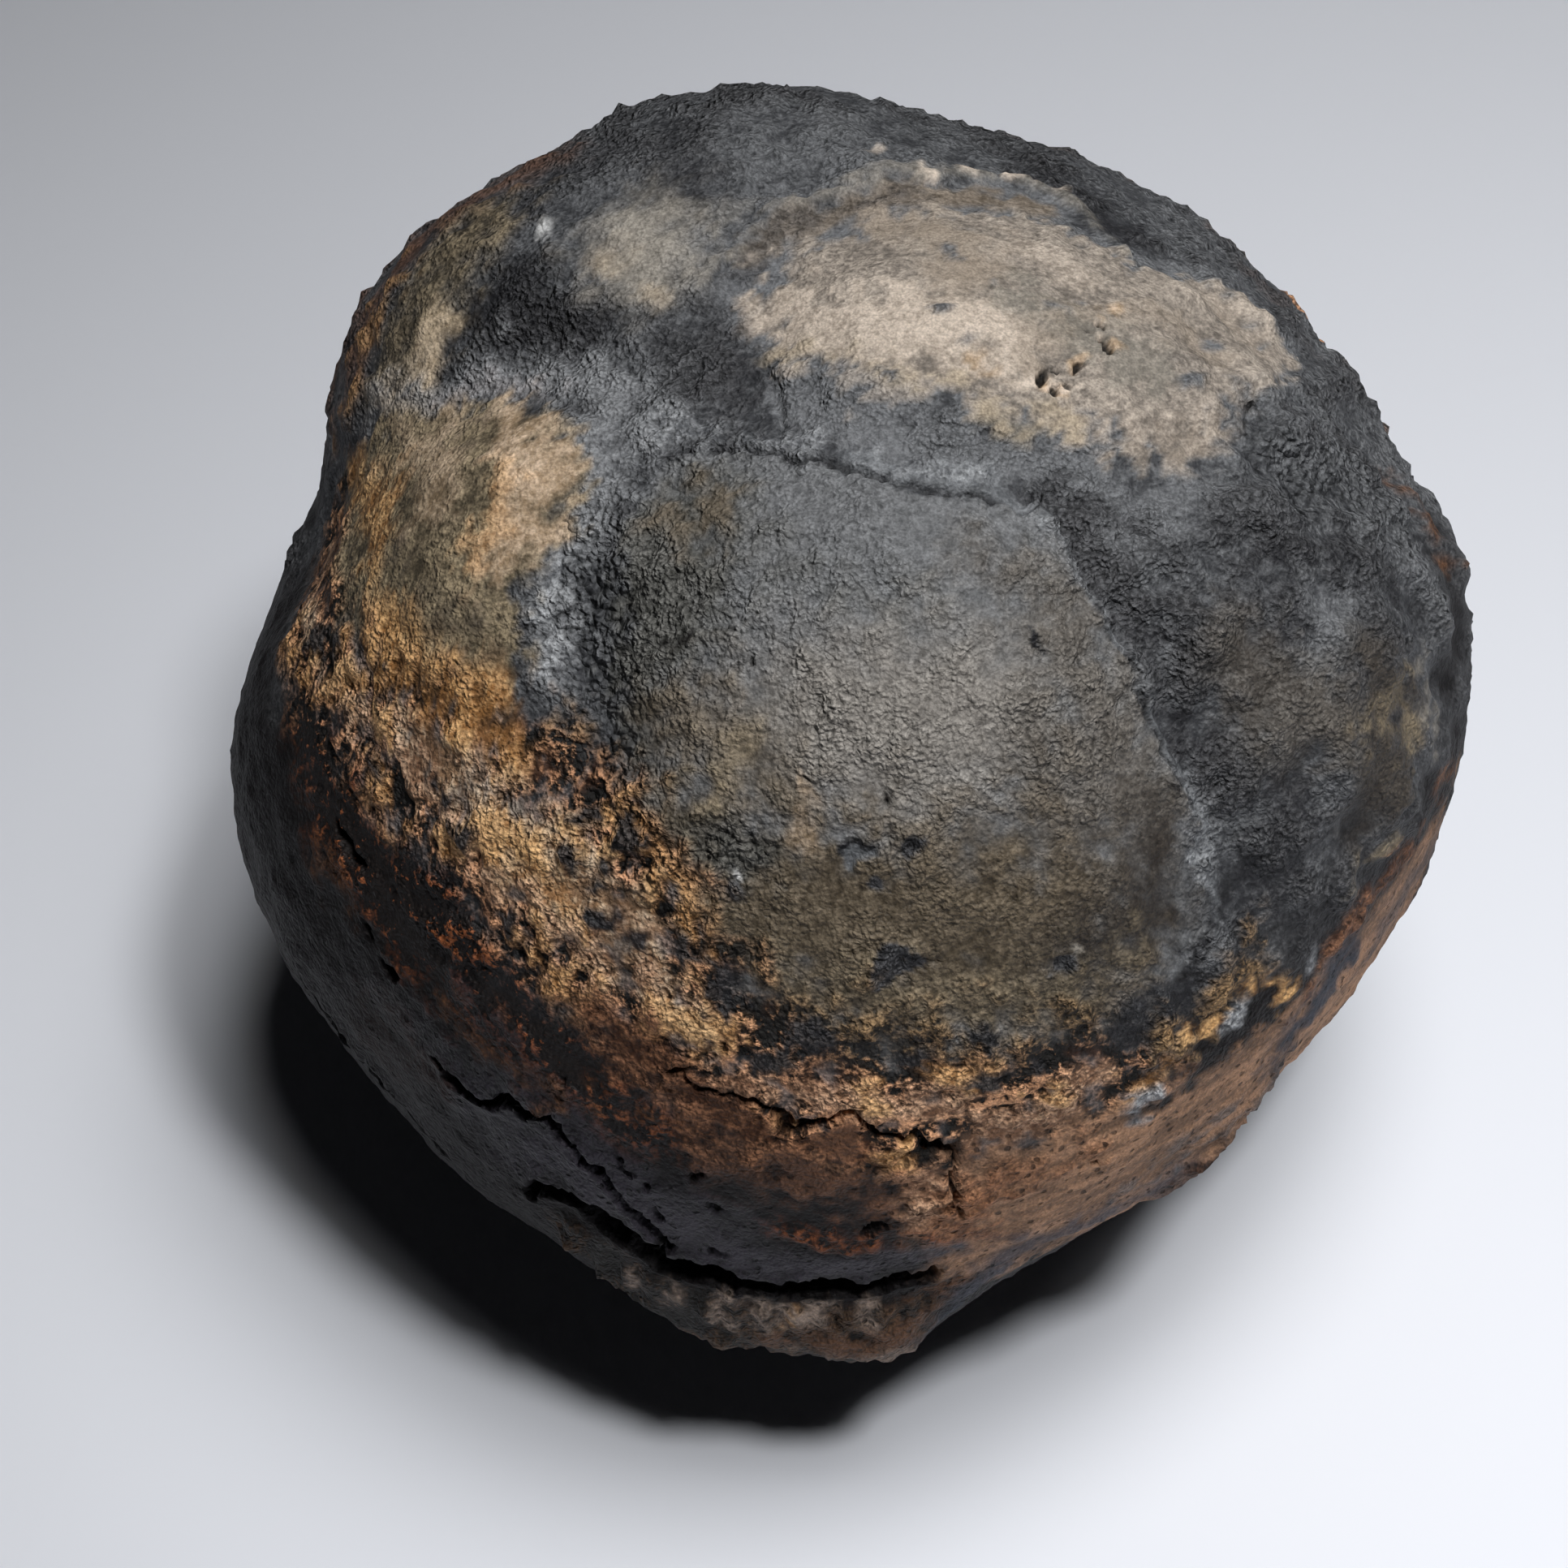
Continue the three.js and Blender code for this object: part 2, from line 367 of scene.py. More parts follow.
# %% [markdown]
# ## Randomness that can be repeated
# Stone is uneven at every size. Blender's own noise gives the same value at the same place each
# time, so the stone never changes between runs. Each field is scaled to vary by about 1 either way.


# %% Uneven fields
def uneven(lump, octaves, shift, stretch=(1, 1, 1)):
    """A random field over the skin; lump is the size of its swells in mm."""
    samples = points / (lump * np.array(stretch)) + shift
    field = np.array([noise.fractal(sample, 1, 2, octaves) for sample in samples])
    return (field - field.mean()) / field.std()


wide = uneven(16, 3, 3.1)
swell = uneven(7, 3, 11.7)
lumps = uneven(3, 3, 23.3)
crumbs = uneven(1.5, 2, 37.9)
layers = uneven(1, 3, 51.3, (9, 9, 1.7))
drift = np.stack([uneven(6, 2, 61.1), uneven(6, 2, 73.7), uneven(6, 2, 89.3)], 1)
jitter = np.stack([uneven(1.8, 2, 97.1), uneven(1.8, 2, 103.3), uneven(1.8, 2, 113.9)], 1)
rays = unit(points - np.array(heart) / MM)
loose_rays = unit(rays + (0.5 * drift + 0.25 * jitter) / SKIN_RADIUS)
print("random fields made, lumps from", lumps.min().round(1), "to", lumps.max().round(1))

# %% [markdown]
# ## Sculpting
# A groove sinks to its depth a little inside its edge, and a lip rises beside it. Cracks follow the
# slightly wandering rays, so no edge is as clean as its list of places.

# %% Cracks, the ledge gap and the seams
relief = np.zeros(count)
groove_shade = np.zeros(count)


def groove(places, depth, bank=0.5, lip=0.0, lip_width=1.5, shade=1.0):
    """Sinks a groove into the relief, raises a lip along it and notes its bed's painted shade."""
    inside = stroke(places, loose_rays)
    cut = blend(inside, -bank, bank)
    rim = lip * np.exp(-((np.maximum(-inside, 0) / lip_width) ** 2)) * (1 - cut)
    relief[:] += rim - depth * cut
    # the bed's painted shade, which the paint and the material darken later
    groove_shade[:] = np.maximum(groove_shade, shade * cut)


groove(LEDGE_GAP, depth=5.5, bank=0.6, lip=0.5, lip_width=2)
groove(LEFT_CRACK, depth=3.2, bank=0.35, lip=0.25)
groove(FRONT_CRACK, depth=1.3, bank=0.25, lip=0.3, shade=0.75)
for places in LEFT_SPLITS:
    groove(places, depth=2.2, bank=0.4, lip=0.2)
groove(SEAM_ABOVE, depth=0.4, bank=0.22, lip=0.12, lip_width=1, shade=0.62)
groove(SEAM_RIGHT, depth=0.4, bank=0.22, lip=0.1, lip_width=0.9, shade=0.62)
groove(SLAB_EDGE, depth=0.7, bank=0.8, lip=0.2, lip_width=1, shade=0.2)
print("deepest cut", round(-relief.min(), 1), "mm")

# %% [markdown]
# The front dome is the roof of one chamber, and its skin ends at a seam. Outside the seam the stone
# lies a little lower on the right and stands a little higher above, so the dome reads as its own
# shell.

# %% The dome's edge
DOME = [
    (-51, 67), (-45, 70.8), (-33, 72.6), (-21.7, 73), (-9, 72.4), (2.5, 70.8), (12, 69.2),
    (27, 66.6), (35, 64.5), (39, 64.2), (38.8, 58), (37.4, 54), (37, 48), (36.9, 44), (37.1, 40),
    (37, 35), (36, 30), (35.5, 24), (33, 20), (30, 19), (22, 17.5), (12, 18), (2, 18.5), (-6, 19.5),
    (-11, 22.5), (-16, 28), (-21, 34), (-27, 39.5), (-33, 44), (-38, 48), (-41, 52), (-44.5, 57.7),
    (-47, 62.5),
]
STEP_DOWN = 0.9  # mm, on the right
STEP_UP = 0.45  # mm, above
STEP_WIDTH = 1.2

dome = region(DOME, loose_rays)
outside = np.maximum(-dome, 0)
bearing = np.degrees(np.arctan2(rays[:, 0], -rays[:, 1]))
rise = np.degrees(np.arcsin(np.clip(rays[:, 2], -1, 1)))
right_side = blend(bearing, 25, 36) * blend(rise, 22, 32) * (1 - blend(rise, 66, 72))
above = blend(rise, 62, 68) * (1 - blend(np.abs(bearing - 3), 38, 60))
step = blend(outside, 0, STEP_WIDTH)
relief -= STEP_DOWN * step * np.exp(-((outside / 8) ** 2)) * right_side
relief += STEP_UP * step * np.exp(-((outside / 5) ** 2)) * above
print("the dome covers", round(100 * (dome > 0).mean()), "% of the points")

# %% [markdown]
# Broken ends of wall plates stand below the ledge gap like a row of teeth. A wave round the bulb,
# limited to the ledge, cuts the teeth.

# %% Teeth on the ledge
LEDGE = [
    (-30, -8), (-24, -6.5), (-18, -10.5), (-10, -11.5), (0, -12), (8, -11.5), (10, -18), (4, -24),
    (-8, -24), (-20, -20), (-28, -15),
]
LEDGE_TIP = [(1, -23, 4)]
TEETH_ROUND_THE_BULB = 140
TOOTH_HEIGHT = 0.35
LEDGE_HEIGHT = 0.6

ledge = region(LEDGE, loose_rays)
on_ledge = blend(ledge, 0, 2)
teeth = np.cos(np.radians(bearing * TEETH_ROUND_THE_BULB + 30 * swell + 20 * lumps))
teeth *= TOOTH_HEIGHT * blend(rise, -17, -14.5)
relief += on_ledge * (teeth + 0.15 * lumps + LEDGE_HEIGHT)
relief += LEDGE_HEIGHT * blend(stroke(LEDGE_TIP, rays), -4, 3)
print("the ledge covers", round((ledge > 0).sum()), "points")

# %% [markdown]
# Small marks repeat all over: pits where grit fell out, and chips where skin flaked off. Each is
# one place with a radius, and a stroke of a single place sinks it. Only the star-shaped chip takes
# four.

# %% Pits and chips
for place in PITS:
    groove([place], depth=0.9, bank=0.3, lip=0.15, lip_width=0.8, shade=0.8)
for place in CHIPS:
    groove([place], depth=0.25, bank=0.2, lip=0.1, lip_width=0.5, shade=0)
groove(STAR_CHIP, depth=0.3, bank=0.2, lip=0.12, lip_width=0.5, shade=0)
print(len(PITS), "pits and", len(CHIPS) + 1, "chips")

# %% [markdown]
# Ridges are the opposite of grooves. One runs round the back of the crown, a thin one follows the
# right-hand seam, where mineral has filled the joint and stands proud, and two are scraps of the
# broken wall. The right shoulder above its scrap is pressed in a little, as a thumb would do it.

# %% Ridges
CROWN_RIDGE = [
    (-116, 74.4, 0.2), (-143, 73.2, 0.4), (-159, 70.7, 0.6), (-175, 69.2, 0.8), (170, 66.5, 0.8),
    (162, 64.8, 0.8), (156, 61.5, 0.8), (149, 59, 0.8), (141, 57.5, 0.8), (133, 58, 0.6),
    (127, 59.2, 0.5), (118, 60.3, 0.3),
]
SEAM_RIDGE = [
    (39.6, 63.5, 0.8), (39, 58, 0.5), (37.8, 54, 0.4), (37.6, 48.4, 0.4), (37.6, 44, 0.5),
    (37.8, 40.5, 0.6), (38, 35, 0.7), (37.6, 31, 0.7), (37.4, 27, 0.6), (37.2, 22.5, 0.5),
]
FRONT_SCRAP = [(31, -14, 0.3), (34, -12.5, 1), (38, -10.5, 1.1), (41, -8.5, 0.3)]
RIGHT_SCRAP = [(87, 17, 0.4), (88, 22, 1), (88, 26, 0.5)]
RIGHT_SHOULDER = [(94, 34, 4), (92, 42, 3)]
SHOULDER_DEPTH = 1.5


def raise_ridge(places, height, bank):
    """Raises a ridge by its height in mm, with a slope of twice the bank on both sides."""
    relief[:] += height * blend(stroke(places, loose_rays), -bank, bank)


raise_ridge(CROWN_RIDGE, height=0.9, bank=1.2)
raise_ridge(SEAM_RIDGE, height=0.3, bank=0.5)
raise_ridge(FRONT_SCRAP, height=0.9, bank=0.9)
raise_ridge(RIGHT_SCRAP, height=0.6, bank=1.2)
relief -= SHOULDER_DEPTH * blend(stroke(RIGHT_SHOULDER, rays), -6, 3)
print("relief now from", relief.min().round(1), "to", relief.max().round(1), "mm")

# %% [markdown]
# ## Painting
# Real stone is never one colour, but close up most of it is only two: a dark mineral and a pale one
# in changing shares. So each coat has a dark and a pale colour and says how much of it is pale, and
# the material later mixes the two grain by grain. Each mineral also has a crispness, from a soft
# blend to sharp islands, an unevenness in mm, because a crust stands up and a skin doesn't, and a
# dullness, which is low for the slate that a cloth could polish.

# %% The palette
MINERALS = {
    # name: dark colour, pale colour, crispness, unevenness, dullness
    "slate": ((0.009, 0.008, 0.010), (0.041, 0.036, 0.047), 0.3, 0.08, 0.5),
    "black skin and shade": ((0.003, 0.002, 0.002), (0.010, 0.008, 0.009), 0.3, 0.07, 0.65),
    "grey stone": ((0.050, 0.052, 0.057), (0.198, 0.204, 0.214), 0.2, 0.17, 0.6),
    "dark grey stone and shade": ((0.021, 0.021, 0.024), (0.101, 0.101, 0.107), 0.25, 0.22, 0.6),
    "blue-grey bloom": ((0.154, 0.161, 0.173), (0.580, 0.595, 0.614), 0.4, 0.16, 0.7),
    "smooth slab": ((0.110, 0.116, 0.124), (0.300, 0.312, 0.326), 0.1, 0.08, 0.6),
    "pale band": ((0.223, 0.210, 0.208), (0.580, 0.548, 0.555), 0.4, 0.08, 0.7),
    "grey skin": ((0.113, 0.116, 0.120), (0.267, 0.273, 0.282), 0, 0.13, 0.55),
    "warm skin": ((0.175, 0.161, 0.145), (0.402, 0.374, 0.340), 0, 0.17, 0.55),
    "dark skin": ((0.056, 0.056, 0.050), (0.214, 0.210, 0.195), 0.2, 0.20, 0.55),
    "brown skin": ((0.076, 0.065, 0.054), (0.237, 0.213, 0.185), 0.1, 0.16, 0.55),
    "olive skin": ((0.058, 0.044, 0.028), (0.226, 0.179, 0.124), 0.15, 0.14, 0.6),
    "shaded olive skin": ((0.023, 0.018, 0.015), (0.069, 0.057, 0.045), 0.15, 0.09, 0.6),
    "ochre": ((0.326, 0.229, 0.137), (0.806, 0.617, 0.451), 0.1, 0.04, 0.75),
    "mottled ochre": ((0.077, 0.062, 0.041), (0.407, 0.324, 0.207), 0.3, 0.09, 0.75),
    "orange stain": ((0.390, 0.182, 0.058), (0.920, 0.548, 0.240), 0.4, 0.12, 0.8),
    "tan crust": ((0.335, 0.203, 0.116), (0.899, 0.690, 0.485), 0.4, 0.22, 0.85),
    "broken crust": ((0.014, 0.013, 0.012), (0.840, 0.440, 0.243), 0.75, 0.24, 0.75),
    "speckled stone": ((0.016, 0.013, 0.011), (0.378, 0.238, 0.120), 0.7, 0.24, 0.7),
    "peach crust": ((0.291, 0.154, 0.090), (0.900, 0.578, 0.378), 0.4, 0.24, 0.85),
    "tan": ((0.198, 0.116, 0.072), (0.498, 0.286, 0.171), 0.1, 0.07, 0.8),
    "dull tan": ((0.034, 0.037, 0.048), (0.093, 0.099, 0.122), 0.2, 0.06, 0.8),
    "brown stone": ((0.026, 0.014, 0.010), (0.165, 0.081, 0.048), 0.3, 0.12, 0.7),
    "warm brown stone": ((0.092, 0.037, 0.018), (0.468, 0.216, 0.110), 0.4, 0.16, 0.8),
    "rust": ((0.046, 0.022, 0.013), (0.190, 0.084, 0.036), 0.5, 0.12, 0.75),
    "rust specks": ((0.017, 0.013, 0.012), (0.395, 0.125, 0.045), 0.95, 0.14, 0.65),
    "cream": ((0.340, 0.283, 0.228), (0.705, 0.600, 0.502), 0.2, 0.03, 0.75),
    "dull cream": ((0.161, 0.140, 0.120), (0.506, 0.437, 0.369), 0.25, 0.07, 0.75),
    "yellow-brown": ((0.134, 0.106, 0.077), (0.354, 0.292, 0.231), 0.2, 0.05, 0.7),
    "pale blotch": ((0.217, 0.198, 0.168), (0.451, 0.409, 0.348), 0.05, 0.03, 0.7),
    "beige": ((0.400, 0.304, 0.194), (0.896, 0.712, 0.504), 0.1, 0.03, 0.75),
    "white": ((0.450, 0.450, 0.450), (0.750, 0.750, 0.740), 0.3, 0.10, 0.7),
    "broken wall": ((0.009, 0.007, 0.005), (0.106, 0.061, 0.035), 0.5, 0.15, 0.6),
    "plate end": ((0.089, 0.067, 0.054), (0.372, 0.281, 0.222), 0.4, 0.10, 0.6),
}
print(len(MINERALS), "minerals on the palette")

# %% [markdown]
# A coat is laid over the ones below it, as thick as its cover, which runs from 0 to 1. Its cover
# comes from a brush: the inside of a stroke or of an outline, with an edge that the lumps and
# crumbs of the stone push in and out, since no stain stops along a clean line.

# %% Brushes and coats
dark = np.zeros((count, 3))
pale = np.zeros((count, 3))
pale_share = np.zeros(count)
crisp = np.zeros(count)
rough = np.zeros(count)
dull = np.zeros(count)


def brush(places, soft=1.0, ragged=1.0):
    """Cover of a stroke, or of an outline if its places have no widths, with an uneven edge."""
    draw = region if len(places[0]) == 2 else stroke
    inside = draw(places, loose_rays) + ragged * (0.6 * lumps + 0.5 * crumbs)
    return blend(inside, -soft, soft)


def coat(mineral, cover, share=0.5, mottle=0.1):
    """Lays a mineral over the coats below; share is how much of it is pale."""
    dark_colour, pale_colour, *finish = MINERALS[mineral]
    cover = np.clip(cover, 0, 1)
    share = share + mottle * (0.8 * swell + 0.6 * lumps)
    dark[:] += (np.array(dark_colour) - dark) * cover[:, None]
    pale[:] += (np.array(pale_colour) - pale) * cover[:, None]
    pale_share[:] += (share - pale_share) * cover
    for field, value in zip((crisp, rough, dull), finish):
        field[:] += (value - field) * cover


def lay(rows, within=1.0, mottle=0.1):
    """Lays coats from rows of (mineral, places, soft, ragged, strength, share)."""
    for mineral, places, soft, ragged, strength, share in rows:
        coat(mineral, brush(places, soft, ragged) * strength * within, share, mottle)


def spots(mineral, places, soft=0.5, ragged=0.4, share=0.5, mottle=0.1):
    """Lays a mineral on separate round spots."""
    for place in places:
        coat(mineral, brush([place], soft, ragged), share, mottle)


print("a brush of 5 mm covers", round(brush([(0, 45, 5)]).sum()), "points")

# %% [markdown]
# The whole bulb starts as grey stone above its girth and black skin below, with darker patches. The
# back has few marks of its own, so there the noise lays brown stone and a belt of crust islands,
# which carry on what the front has.

# %% Ground coats
coat("grey stone", np.ones(count), mottle=0.15)
coat("dark grey stone and shade", blend(swell + wide, 0, 1.6) * 0.7)
coat("black skin and shade", 1 - blend(rise + 4 * wide + 2 * swell, 10, 26))
rear = blend(np.abs(bearing), 102, 130)
low_rear = rear * (1 - blend(rise + 3 * swell, 28, 46))
coat("brown stone", low_rear * blend(wide + 0.5 * lumps, 0.3, 1.3))
crust_belt = low_rear * blend(swell - 0.1 * np.abs(rise - 14), -0.6, 0.6)
coat("broken crust", crust_belt, share=0.42, mottle=0.2)
coat("grey stone", rear * blend(rise, 54, 62), share=0.62, mottle=0.2)
print("ground coats laid")

# %% [markdown]
# The front dome has a leathery skin: grey above, warmer where it bulges, brown to the right and
# olive below, and along its lower edge it breaks up into ochre crumbs and black grains.

# %% The front dome
on_dome = blend(dome + 0.3 * lumps, -0.6, 0.6)
coat("grey skin", on_dome)
lay([
    ("dark skin", [
        (-49, 46), (-50, 62), (-36, 70), (-26, 65), (-20, 56), (-24, 48), (-26, 42), (-36, 42),
    ], 4, 1.5, 1, 0.5),
    ("dark skin", [(-28, 66, 1), (-14, 62, 2), (-2, 60, 2), (10, 56, 1.5)], 3, 1.5, 0.5, 0.7),
    ("warm skin", [(-14, 47, 4), (-4, 49, 7), (6, 48, 9), (14, 49, 7)], 5, 1, 1, 0.5),
    ("brown skin", [
        (24, 60, 2), (29, 58, 3), (31, 50, 4), (30, 43, 5), (32, 34, 4),
    ], 4, 1.5, 0.9, 0.5),
    ("brown skin", [(21, 45, 3), (24, 40, 5), (22, 34, 5)], 4, 1.5, 0.9, 0.45),
    ("olive skin", [
        (-22, 38, 4), (-12, 33, 7), (0, 32, 8), (12, 31, 8), (20, 31, 6),
    ], 4, 1.5, 1, 0.5),
    ("olive skin", [(-26, 46, 3), (-20, 47, 4), (-13, 45, 4), (-8, 42, 3)], 4, 1.5, 0.8, 0.6),
    ("olive skin", [(-36, 66, 2), (-32, 63, 2), (-40, 62, 1)], 2, 1.5, 0.8, 0.6),
    ("olive skin", [(4, 41, 2), (14, 38, 2), (20, 40, 2)], 3, 1.5, 0.6, 0.5),
    ("olive skin", [(-8, 27, 3), (4, 25, 4.5), (14, 24, 4.5), (25, 22, 4)], 3, 1.5, 0.9, 0.45),
    ("shaded olive skin", [(22, 26, 5), (30, 28, 5), (32, 34, 2)], 4, 1.5, 0.95, 0.42),
    ("mottled ochre", [
        (-12, 27, 1.5), (-2, 26.5, 2), (10, 24, 2.5), (20, 23, 2.5), (26, 24, 2),
    ], 3, 2, 0.4, 0.5),
    ("dark grey stone and shade", [
        (-31, 38, 3), (-27, 36, 3), (-22, 34, 2), (-20, 31, 2),
    ], 2, 1.5, 0.75, 0.45),
    ("dark skin", [(-22, 35, 2), (-13, 37, 2.8), (-10, 38, 1.5)], 1.5, 1, 0.9, 0.3),
    ("mottled ochre", [(-24, 33, 1.2), (-19, 35, 1), (-17, 40, 1)], 1.5, 1.5, 0.5, 0.7),
    ("ochre", [(-5, 43, 0.9)], 0.6, 0.4, 0.6, 0.2),
    ("ochre", [(-5.3, 39.8, 1.1)], 0.8, 0.5, 0.5, 0.2),
    ("mottled ochre", [(-17, 44, 1.5), (-12, 48, 1)], 1.5, 1, 0.45, 0.8),
], on_dome)
print("dome painted")

# %% [markdown]
# A few flakes of slate lie on the dome, one of them oval with a smooth grey face and one shaped
# like a star, beside two thin dark nicks, a white grain and a pale one.

# %% Marks on the dome
SLATE_CHIPS = [(5, 39.3, 1.2), (2.2, 36, 0.8), (18.5, 25.7, 1), (-12, 34, 0.8)]
spots("dark grey stone and shade", SLATE_CHIPS, soft=0.2, ragged=0.1, share=0.75, mottle=0.02)
lay([
    ("dark grey stone and shade", STAR_CHIP, 0.2, 0.5, 1, 0.6),
    ("black skin and shade", [(-27.5, 53.4, 0.1), (-25.3, 53.8, 0.25)], 0.2, 0.05, 1, 0.2),
    ("dark grey stone and shade", [(25.4, 54.4, 0.2), (26.4, 52.6, 0.3)], 0.15, 0, 1, 0.2),
    ("dark grey stone and shade", [(-1, 38.8, 0.9), (-0.5, 38.7, 0.9)], 0.2, 0, 1, 0.2),
    ("smooth slab", [(-1, 38.5, 0.7), (-0.4, 38.3, 0.8)], 0.15, 0, 1, 0.2),
    ("white", [(-12, 35.2, 0.35)], 0.25, 0.1, 1, 0.4),
    ("pale blotch", [(20.6, 27, 0.6)], 0.3, 0.1, 1, 0.8),
], mottle=0.02)
print("marks painted")

# %% [markdown]
# The crown is a cream blotch, dull towards its right end, inside a grey ring that turns
# yellow-brown at the back. A thin pale line runs along the ridge behind it.

# %% The crown
CROWN = [
    (-118, 79), (-143, 77.5), (-172, 77), (165, 75), (150, 70), (138, 66), (125, 64.5), (114, 61),
    (111, 55), (108, 50), (98, 48), (91, 48.5), (84, 52), (78, 54), (70, 55), (65, 57), (62, 61),
    (63, 65), (55, 67), (52, 70.5), (44, 73.5), (30, 78), (5, 80), (-25, 83.5), (-79, 82.5),
]
crown = region(CROWN, loose_rays)
SKIRT = [
    (-110, 75), (-143, 74), (-160, 72), (-176, 70), (170, 67), (160, 65), (150, 60), (141, 58.5),
    (128, 60), (118, 58), (113, 48), (100, 46), (88, 48), (78, 53), (70, 54), (63, 57), (60, 61),
    (60, 65), (52, 67.5), (42, 72), (28, 76.5), (0, 79), (-30, 81.5), (-79, 80.5),
]
lay([
    ("grey stone", [
        (-40, 78.5, 2), (-14, 77, 3), (14, 75, 3.5), (32, 71, 3), (44, 68, 2.5), (54, 64, 2),
    ], 2, 1.5, 1, 0.95),
    ("grey stone", SKIRT, 1.5, 1.5, 0.9, 1),
    ("yellow-brown", [
        (-140, 75, 1.5), (-165, 73.5, 2), (172, 71, 2.5), (155, 67, 2.5), (140, 63.5, 2),
    ], 1.5, 1, 0.9, 0.45),
    ("yellow-brown", [(128, 66, 2), (118, 64, 1.5), (108, 62, 1)], 1.5, 1, 0.7, 0.5),
    ("dark grey stone and shade", [
        (-125, 76.5, 1), (-145, 75, 1.2), (-165, 73, 1), (165, 70, 1),
    ], 1.2, 1, 0.6, 0.5),
    ("dark grey stone and shade", [(-84, 79, 1.4), (-66, 79, 1.4)], 1.5, 1, 0.6, 0.4),
    ("dark grey stone and shade", [(150, 55, 2), (136, 54, 3), (124, 56, 2)], 2, 1.5, 0.8, 0.3),
    ("dull cream", CROWN, 0.8, 1.6, 1, 0.5),
    ("yellow-brown", [(120, 78, 3), (140, 75, 2.5), (165, 76, 2)], 3, 1.5, 0.8, 0.9),
    ("cream", [(-128, 81, 2), (-60, 86, 4), (60, 84, 6), (78, 77, 5)], 1.5, 2, 1, 0.5),
    ("yellow-brown", [(110, 80, 3), (130, 76, 3), (150, 74, 2)], 3, 1.5, 0.5, 0.9),
    ("grey stone", [(20, 79.5, 2), (-20, 83, 1.5)], 2.5, 1.5, 0.5, 1),
    ("cream", [(57, 68, 1.3), (66, 62, 1), (70, 58, 1.6), (78, 56, 1.6)], 1.5, 1.4, 0.7, 0.35),
    ("dark grey stone and shade", [(86, 60, 1), (82, 57.5, 0.7), (92, 60, 0.7)], 1, 1.2, 0.5, 0.6),
    ("cream", [(110, 68, 2.5), (125, 71, 2)], 1.5, 1.2, 0.6, 0.4),
    ("cream", [(105, 54, 1.5), (100, 51, 1.5)], 1, 1, 0.6, 0.4),
    ("pale blotch", [(100, 75, 2.5), (88, 70, 3), (84, 64, 3)], 1.5, 1, 0.8, 0.2),
    ("yellow-brown", [
        (70, 74, 1.5), (92, 72, 1.5), (98, 62, 1.5), (92, 57, 1.5),
    ], 1.5, 1.5, 0.6, 0.8),
    ("mottled ochre", [(44, 73, 1), (52, 69.6, 1.2), (60, 66, 0.8), (-70, 81, 1)], 1, 1, 0.6, 0.9),
    ("pale blotch", CROWN_RIDGE, 0.6, 0.4, 0.55, 0.5),
    ("pale blotch", [(-120, 73.5, 0.4), (-140, 71.8, 0.5), (-155, 70, 0.5)], 1, 0.5, 0.4, 0.6),
])
print("the crown's blotch covers", (crown > 0).sum(), "points")

# %% [markdown]
# Grey flecks are strewn over the cream, cream beads sit on the ridge behind it, and the deep pits
# are rimmed with ochre and cream.

# %% Marks on the crown
spots("grey stone", [
    (136, 76.8, 0.9), (85, 82.5, 0.9), (28, 81.5, 0.7), (94, 72, 0.7), (82, 59, 1.2),
], share=0.8)
spots("grey stone", [
    (140, 72, 0.5), (110, 77, 0.4), (70, 79, 0.4), (100, 69, 0.5), (96, 57, 0.8), (58, 74, 0.5),
], share=1)
spots("cream", [
    (162, 65.2, 0.9), (157, 61.5, 0.5), (149, 59, 0.9), (142, 57, 0.7), (173, 64, 0.7),
    (80, 54, 0.6),
], share=1)
spots("ochre", [
    (66, 71.2, 0.9), (67, 68.6, 0.9), (77, 69.4, 0.7), (86, 66.5, 1), (96, 66.5, 0.7),
    (60, 77, 0.6),
], share=0.4)
spots("cream", [
    (86, 67.5, 0.9), (90, 68, 0.8), (67, 70.6, 0.6), (68, 68, 0.6), (72, 70, 0.5), (64, 73, 0.5),
], soft=0.4, ragged=0.5, share=1)
print("crown painted")
